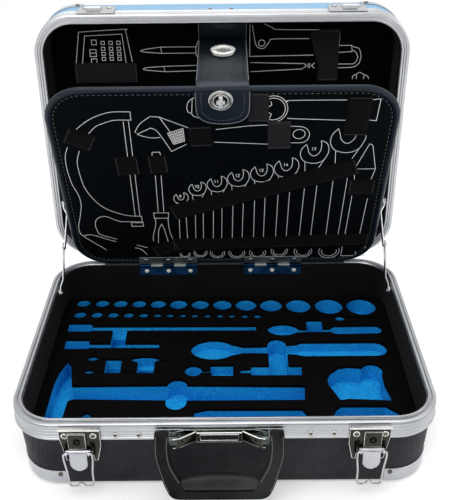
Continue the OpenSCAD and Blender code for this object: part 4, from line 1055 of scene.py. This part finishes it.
fullPath = smoothPath(strapForm["path"], 5, 100)
splitAt = min(range(len(fullPath)), key=lambda i: abs(fullPath[i][0] - strapForm["splitY"]))
strapSpan = makePiece("strapSpan", [strapRun(fullPath[:splitAt + 1])], "strapHide", "lid",
                      sharp=60)
tailOutline = smoothPath([(-29.2, 302), (-29.2, 282), (-28.6, 270), (-25, 261.5), (-16, 255.6), (0.6, 253.2),
                          (17, 255.6), (26.2, 261.5), (29.8, 270), (30.4, 282), (30.4, 302)], 4, 60)
tailX, tailTop = strapForm["tailX"], strapForm["tailTop"]
tailRings = []
for shrink, level in ((0.4, -0.9), (0, -0.6), (0, 0.3), (0.5, 0.7), (4, 0.8)):
    size = 1 - shrink / strapForm["tailWide"]
    tailRings.append([(tailX + (x - tailX) * size, y if y >= tailTop else tailTop + (y - tailTop) * size,
                       level) for x, y in tailOutline])
makePiece("strapTail", [strapRun(fullPath[splitAt:]), moved(loft(tailRings), onBoard)], "strapHide", "strap",
          stands=["lid_strap"], sharp=60)


def eyeletForm(radius, hole, high=1.7):
    return turnedRing([(radius, 0), (radius, 0.25 * high), (radius - 0.7, 0.75 * high), (radius - 1.8, high),
                       (hole + 1.6, 0.95 * high), (hole + 0.5, 0.6 * high), (hole, 0.1 * high), (hole, 0)])


# the upper eyelet: a collar on the strap, a groove and a broad flat rim
collarSection = [(13.2, 0), (13.6, 1.2), (12.9, 1.9), (13.4, 2.6), (14.6, 3.2), (14.9, 4.1), (14.3, 4.7),
                 (13, 4.9), (9.9, 4.8), (8.9, 4.3), (8.5, 3.2), (8.4, 0)]
eyeletPlaces = {"strap": (1.2, 150, 387.7), "tilt": 4.8, "tail": (-1.6, 287.5, 0.8)}


def onStrap(p):
    c, s = cosSin(eyeletPlaces["tilt"])
    x, y, z = eyeletPlaces["strap"]
    return (p[0] + x, y + p[1] * c - p[2] * s, z + p[1] * s + p[2] * c)


def onTail(p):
    return onBoard([a + b for a, b in zip(p, eyeletPlaces["tail"])])


spanEyelet = makePiece("spanEyelet", [turnedRing(collarSection)], "knobNickel", "lid", onStrap)
# a dark cap filling the eyelet's open hole: painted shade
spanShade = makePiece("spanEyeletHole", [dome(8.6, 0.9, flatTop=0.4)], "foamDark", "lid",
                     onStrap)
makePiece("tailEyelet", [eyeletForm(13.2, 8.2)], "eyeletNickel", "strap", onTail,
          stands=["strap_eyelets"])
# bright rings on the eyelet's outer and inner rims: painted highlights
makePiece("tailEyeletRim", [turnedRing([(13.5, 0), (13.6, 0.9), (13.1, 1.3), (12.6, 1.2), (12.6, 0)]),
                            turnedRing([(8.6, 0), (8.6, 1.7), (8.1, 1.9), (7.7, 1.6), (7.8, 0)])],
          "brightNickel", "strap", onTail)

slotOutline = [(-6.2, -2.6), (-2.2, -1.2), (2.2, -1.2), (6.2, -2.6), (6.2, 2.6), (2.2, 1.2), (-2.2, 1.2),
               (-6.2, 2.6)]
spanSlot = makePiece("spanEyeletSlot", [slab(slotOutline, 0.8, 2.6)], "eyeletNickel", "lid",
                     onStrap, bevel=0.3)


def edgeRun(side, out=0.3):
    # a pale strip along one side of the strap's upper run
    x = strapForm["left"] + 0.4 if side < 0 else strapForm["right"] - 0.4
    return [(x, y, z + out) for y, z in fullPath]


spanEdges = makePiece("strapSpanEdges", [tube(edgeRun(side)[:splitAt + 1], 0.55, 8) for side in (-1, 1)],
                      "strapEdge", "lid")
spanSeam = []
for x in (strapForm["left"] + 5.2, strapForm["right"] - 5.2):
    spanSeam += stitches([(x, y, z + 0.95) for y, z in fullPath[12:splitAt + 1]], 4.6, 0.6, wide=0.8)
spanStitching = makePiece("strapSpanStitching", spanSeam, "foamDark", "lid")
tailEdge = [(x, y, 0.55) for x, y in tailOutline if y < 300]
tailSeam = [(tailX + (x - tailX) * 0.8, y + 5 * min(1, max(0, (tailTop - y) / 20)), 0.85)
            for x, y, z in tailEdge]
makePiece("strapTailEdge", [tube(tailEdge, 0.5, 8)], "strapEdge", "strap", onBoard)
makePiece("strapTailStitching", stitches(tailSeam, 4.4, 0.6, wide=0.7), "thread", "strap",
          onBoard)
for piece in (strapSpan, spanEyelet, spanShade, spanSlot, spanEdges, spanStitching):
    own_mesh(piece)
print("strap ready")


# ---- handle

handleForm = {"x": -5.6, "pivotY": -176.5, "pivotZ": 80.5, "tilt": 15, "half": 4.6,
              "side": [(52, -8.6), (65.4, -8.6), (66.8, -7.4), (67.4, -1), (67.6, 8), (67, 18.5), (65, 26.5),
                       (61.5, 38.5), (58.5, 48.5), (54.4, 58.6), (51, 63.6), (45.5, 66.4), (36, 67)],
              "inside": [(36.4, 57.4), (36.9, 53.4), (41, 45.5), (45, 38.5), (49.3, 29.5), (51.8, 21.5),
                         (52.8, 13.6), (53, 4.6)],
              "beads": [[(65.4, -6), (66, 6), (65.4, 18), (63.4, 27), (60, 39), (57, 49), (53, 58)],
                        [(53.6, -6), (54.6, 5), (54.3, 14), (53.2, 23), (50.8, 30.6), (46.6, 39.4),
                         (42.6, 46.6)]],
              "grip": {"foot": 57.2, "crest": 38.4, "ends": 5.8, "half": 36.2, "flare": 0.42, "thick": 7.4}}


def inHandle(p):  # across, down from the pivot, outwards
    c, s = cosSin(handleForm["tilt"])
    return (p[0] + handleForm["x"], handleForm["pivotY"] - p[1] * s - p[2] * c,
            handleForm["pivotZ"] - p[1] * c + p[2] * s)


def handleBow():
    h = handleForm
    side = smoothPath(h["side"], 3, 55)
    inside = smoothPath(h["inside"], 3, 55)
    return slab(side + [(-x, y) for x, y in reversed(side)] + [(-x, y) for x, y in reversed(inside)] + inside,
                -h["half"], h["half"])


def armBeads():
    # raised beads along both arms, near their edges, coloured light as painted highlights
    return [tube([(sx * x, y, handleForm["half"]) for x, y in smoothPath(path, 3)], 0.55, 8)
            for sx in (-1, 1) for path in handleForm["beads"]]


def softGrip():
    # a padded sleeve, crowned along its length and wider at its top, between the arms
    g = handleForm["grip"]
    rings = []
    for i in range(49):
        t = -1 + 2 * i / 48
        ends = max(0.0, 1 - abs(t) ** 26) ** 0.5
        top = g["crest"] + g["ends"] * abs(t) ** 2.1
        middle, high = (g["foot"] + top) / 2, (g["foot"] - top) / 2 * (0.93 + 0.07 * ends)
        thick = g["thick"] * (1 - 0.22 * abs(t) ** 3) * (0.93 + 0.07 * ends)
        ring = []
        for k in range(44):
            a = 2 * math.pi * k / 44
            y = middle + high * math.copysign(abs(math.sin(a)) ** 0.85, math.sin(a))
            ring.append((t * (g["half"] + (g["foot"] - y) * g["flare"]), y,
                         thick * math.copysign(abs(math.cos(a)) ** 0.9, math.cos(a))))
        rings.append(ring)
    return loft(rings)


def gripCore():
    return slab([(-40, 45.6), (40, 45.6), (40, 52), (-40, 52)], -3, 3)


makePiece("carryHandle", [handleBow()], "gripHard", "handle", inHandle, stands=["handle"],
          bevel=1.3)
makePiece("carryHandleCore", [gripCore()], "gripHard", "handle", inHandle)
makePiece("carryHandleBeads", armBeads(), "gripBead", "handle", inHandle)
makePiece("softGrip", [softGrip()], "gripSoft", "handle", inHandle, stands=["handle_grip"])


def box(low, high):
    return slab([(low[0], low[1]), (high[0], low[1]), (high[0], high[1]), (low[0], high[1])], low[2], high[2])


def frontSlab(outline, back, front):
    # an outline in X and Z, from its back plane to its front plane in Y
    points, faces = slab(outline, back, front)
    return [(x, y, z) for x, z, y in points], faces


bracketForm = {"low": 72.6, "high": 85, "edge": 0.65, "foot": 0.4, "frameY": -171.2,
               "crestY": (-166.2, -167.3), "plateY": (-169.4, -171.1), "lugRadius": 5.05,
               "lugX": (43.2, 44.2, 50.4, 51.3),
               "path": [(-47.6, -180.0), (-45.4, -180.2), (-40.5, -178.9), (-24.4, -168.9), (-23.4, -170.9),
                        (23.4, -170.9), (24.4, -168.9), (40.5, -178.9), (45.4, -180.2), (47.6, -180.0)],
               "plate": [(-22.4, 73.6), (22.4, 73.6), (23.2, 84.2), (-23.2, 84.2)],
               "crest": [(-51, 82), (-36, 86.2), (36, 86.2), (51, 82), (36, 85.4), (-36, 85.4)],
               "recess": [(-19.4, 75.4), (19.4, 75.4), (20.3, 83.1), (-20.3, 83.1), (-19.4, 75.4)]}


def bracketEdges():
    # bright strips along the bracket's top, foot and recess border, and its crest: painted highlights on its
    # edges
    b = bracketForm
    x0 = handleForm["x"]
    top = [(x + x0, y + 0.5, b["high"] - 0.3) for x, y in b["path"]]
    foot = [(x + x0, y + 0.3, b["low"] + 0.2) for x, y in b["path"]]
    border = [(x + x0, b["frameY"], z) for x, z in b["recess"]]
    crest = frontSlab([(x + x0, z) for x, z in b["crest"]], *b["crestY"])
    return [tube(top, b["edge"], 12), tube(foot, b["foot"], 10), tube(border, 0.4, 8), crest]


def lugCaps():
    # turned collars on the two pivots
    x0, y, z = handleForm["x"], handleForm["pivotY"], handleForm["pivotZ"]
    return [tube([(x0 + s * a, y, z) for a in bracketForm["lugX"]], bracketForm["lugRadius"], 32)
            for s in (-1, 1)]


fromNode("handleBracket", "handle_bracket", "darkNickel", "base", bevel=0.25)
fromNode("mountPlate", "mount_plate", "darkMirror", "base", bevel=0.2)
makePiece("bracketEdges", bracketEdges(), "brightNickel", "base")
# a near-black slab behind the bracket's recess: painted shade
recess = frontSlab([(x + handleForm["x"], z) for x, z in bracketForm["plate"]], *bracketForm["plateY"])
makePiece("bracketRecess", [recess], "recessDark", "base", bevel=0.2)
makePiece("bracketLugs", lugCaps(), "darkMirror", "base", bevel=0.4)
print("handle ready")


# ---- latches, each drawn for the left one about its own middle

latchForm = {"x": 152, "pivotY": -171, "pivotZ": 60, "shift": -2.2, "tongue": 23.4, "half": 9.4,
             "backY": -165.9, "plateY": -167.2, "caseY": -171.1, "edgeY": -167.3, "caseEdgeY": -170.8,
             "sockets": (-13, 10.8), "ears": (-17.2, 11.2),
             "plate": [(-21, 87), (-21, 76), (-16, 45), (-13.4, 44.4), (-12, 52), (13, 52), (14, 44.4),
                       (17, 45), (21.6, 66), (21.4, 87)],
             "case": [(-11.6, 64), (6.4, 64), (6.4, 84), (-11.6, 84)]}


def leverForm():
    f = latchForm
    rings = []
    for i in range(29):
        s = -1.0 + (f["tongue"] + 1.0) * i / 28
        t = max(0.0, (s - 12) / (f["tongue"] - 12))
        half = f["half"] * max(0.04, (1 - t ** 2.4)) ** 0.5
        out = -2.5 - 1.1 * math.sin(math.pi * min(1, max(0, s) / f["tongue"]))
        ring = []
        for k in range(24):
            a = 2 * math.pi * k / 24
            x = half * math.copysign(abs(math.cos(a)) ** 0.35, math.cos(a))
            y = 0.95 * math.copysign(abs(math.sin(a)) ** 0.5, math.sin(a)) - 0.7 * (1 - (x / f["half"]) ** 2)
            ring.append((x, out + y, -s))
        rings.append(ring)
    sockets = [tube([(a, -4.6, 1.4), (a + 2.2, -4.6, 1.4)], 2.1, 18) for a in f["sockets"]]
    sockets += [tube([(a, 0, 0), (a + 2.2, 0, 0)], 2.4, 18) for a in f["sockets"]]
    sockets += [tube([(a + 1.1, 0, 0), (a + 1.1, -4.6, 1.4)], 1.0, 12) for a in f["sockets"]]
    return [loft(rings), tube([(-11, 0, 0), (11, 0, 0)], 2.8, 28)] + sockets


def plateEdges():
    # bright strips round the plate and the lock case: painted highlights on their edges
    f = latchForm
    outline = [(x, f["edgeY"], z) for x, z in f["plate"]]
    case = [(x, f["caseEdgeY"], z) for x, z in f["case"]]
    return [tube(outline, 0.5, 8, loop=True), tube(case, 0.4, 8, loop=True),
            tube([(x, y + 1.9, z) for x, y, z in case], 0.35, 8, loop=True)]


def plateForms():
    f = latchForm
    y, z = f["pivotY"], f["pivotZ"]
    forms = [frontSlab(f["plate"], f["backY"], f["plateY"]), frontSlab(f["case"], -167.1, f["caseY"])]
    forms += [box((x, y, z - 2.6), (x + 1.6, -166.0, z + 2.6)) for x in f["ears"]]
    forms += [tube([(x, y, z), (x + 1.6, y, z)], 2.6, 24) for x in f["ears"]]
    return forms + [box((-11, -166.0, 53), (11, -161.9, 71.4))]


rivetHighlightRing = [(3.9, 0), (3.9, 0.5), (3.5, 1.0), (2.9, 1.15), (2.5, 0.9), (2.4, 0)]
frameRivetForm = {"x": (-114.5, -90, 90, 114.5), "z": 78, "radius": 2.5}
latchRivets = [(-15.4, 79), (14.4, 79)]


def rivetSet(places, face, radius=3.0):
    # domed heads, and pale rims round them that are painted highlights, standing out of a front face
    def out(form, size):
        return [([(x + a * size, face - c, z + b * size) for a, b, c in form[0]], form[1]) for x, z in places]
    return out(dome(radius, 1.3), 1), out(turnedRing(rivetHighlightRing, 36), radius / 3)


frameHeads, frameHighlights = rivetSet([(x, frameRivetForm["z"]) for x in frameRivetForm["x"]],
                                 -caseSize["depth"] / 2, frameRivetForm["radius"])
makePiece("frameRivets", frameHeads, "rivetSteel", "base", stands=["front_rivets"])
makePiece("frameRivetRims", frameHighlights, "brightNickel", "base")
for side, sign in (("l", -1), ("r", 1)):
    def place(p, sign=sign):
        return (sign * (latchForm["x"] - p[0]), p[1], p[2])

    def placeLever(p, sign=sign):
        return (sign * (latchForm["x"] - latchForm["shift"] - p[0]), latchForm["pivotY"] + p[1],
                latchForm["pivotZ"] + p[2])

    stands = ["latch_plates", "latch_rivets"] if side == "l" else []
    makePiece("latchPlate_" + side, plateForms(), "darkNickel", "base", place,
              stands=stands[:1], bevel=0.3)
    # with a bright bar along the plate's top: painted highlights
    makePiece("latchEdges_" + side, plateEdges() + [box((-22, -169.3, 86.7), (22, latchForm["backY"], 89.3))],
              "brightNickel", "base", place)
    heads, rings = rivetSet(latchRivets, latchForm["plateY"])
    makePiece("latchRivets_" + side, heads, "rivetSteel", "base", place, stands=stands[1:])
    makePiece("latchRivetRings_" + side, rings, "brightNickel", "base", place)
    makePiece("lever_" + side + "Tongue", leverForm(), "satinSteel", "lever_" + side, placeLever,
              stands=["lever_" + side])
print("latches ready")


# ---- floor, light and camera

# each lamp's place and size in metres, and its watts
lamps = [("keyLight", (-0.7, -1.3, 2.3), 1.8, 24), ("topLight", (0.3, 0.5, 2.6), 2.0, 22),
         ("sideLight", (2.2, -0.6, 1.2), 1.4, 8)]
lampAim = (0, 0.05, 0.15)
floorSize = {"half": 8, "drop": 0.0005, "glow": 0.3}


def floorAndLight():
    plane = bpy.data.meshes.new("floor")
    r = floorSize["half"]
    plane.from_pydata([(-r, -r, 0), (r, -r, 0), (r, r, 0), (-r, r, 0)], [], [(0, 1, 2, 3)])
    floor = bpy.data.objects.new("floor", plane)
    floor.location.z = -floorSize["drop"]
    scene.collection.objects.link(floor)
    material, tree, shader = newFinish("floorPaper", (0.9, 0.9, 0.9), 0.9, specular=0.0)
    path = addNode(tree, "LightPath")
    glow = addNode(tree, "Emission", {"Color": (1, 1, 1, 1), "Strength": floorSize["glow"]})
    both = addNode(tree, "AddShader", {0: shader.outputs[0], 1: glow.outputs[0]})
    seen = math2(tree, "MAXIMUM", path.outputs["Is Camera Ray"], path.outputs["Is Glossy Ray"])
    mix = addNode(tree, "MixShader", {0: seen, 1: shader.outputs[0], 2: both.outputs[0]})
    tree.links.new(mix.outputs[0], tree.nodes["Material Output"].inputs["Surface"])
    plane.materials.append(material)

    world = bpy.data.worlds.new("studio")
    scene.world = world
    world.use_nodes = True
    tree = world.node_tree
    path = addNode(tree, "LightPath")
    seen = math2(tree, "MAXIMUM", path.outputs["Is Camera Ray"], path.outputs["Is Glossy Ray"])
    seen = math2(tree, "MAXIMUM", seen, path.outputs["Is Transmission Ray"])
    sky = tree.nodes["Background"]
    sky.inputs["Color"].default_value = (1, 1, 1, 1)
    tree.links.new(spread(tree, seen, 0, 1, 0.55, 1.0), sky.inputs["Strength"])

    for name, place, size, power in lamps:
        lamp = bpy.data.lights.new(name, "AREA")
        lamp.energy, lamp.size, lamp.shape = power, size, "SQUARE"
        lampObject = bpy.data.objects.new(name, lamp)
        scene.collection.objects.link(lampObject)
        lampObject.location = place
        aim = Vector(lampAim) - Vector(place)
        lampObject.rotation_euler = aim.to_track_quat("-Z", "Y").to_euler()


floorAndLight()
cameraData = bpy.data.cameras.new("studioCamera")
cameraData.sensor_fit, cameraData.sensor_width, cameraData.lens = "HORIZONTAL", 36, 64
camera = bpy.data.objects.new("studioCamera", cameraData)
scene.collection.objects.link(camera)
right = Vector((0.99995829, -0.0016305, -0.00898629))
up = Vector((0.00856844, 0.50806167, 0.86127808))
back = -Vector((-0.00316128, 0.86131915, -0.50805445))
turn = Matrix((right, up, back)).transposed().to_4x4()
camera.matrix_world = Matrix.Translation((0.004597, -0.787742, 0.668809)) @ turn
cameraData.clip_start, cameraData.clip_end = 0.02, 40
scene.camera = camera
scene.view_settings.view_transform = "Standard"
print("camera ready")
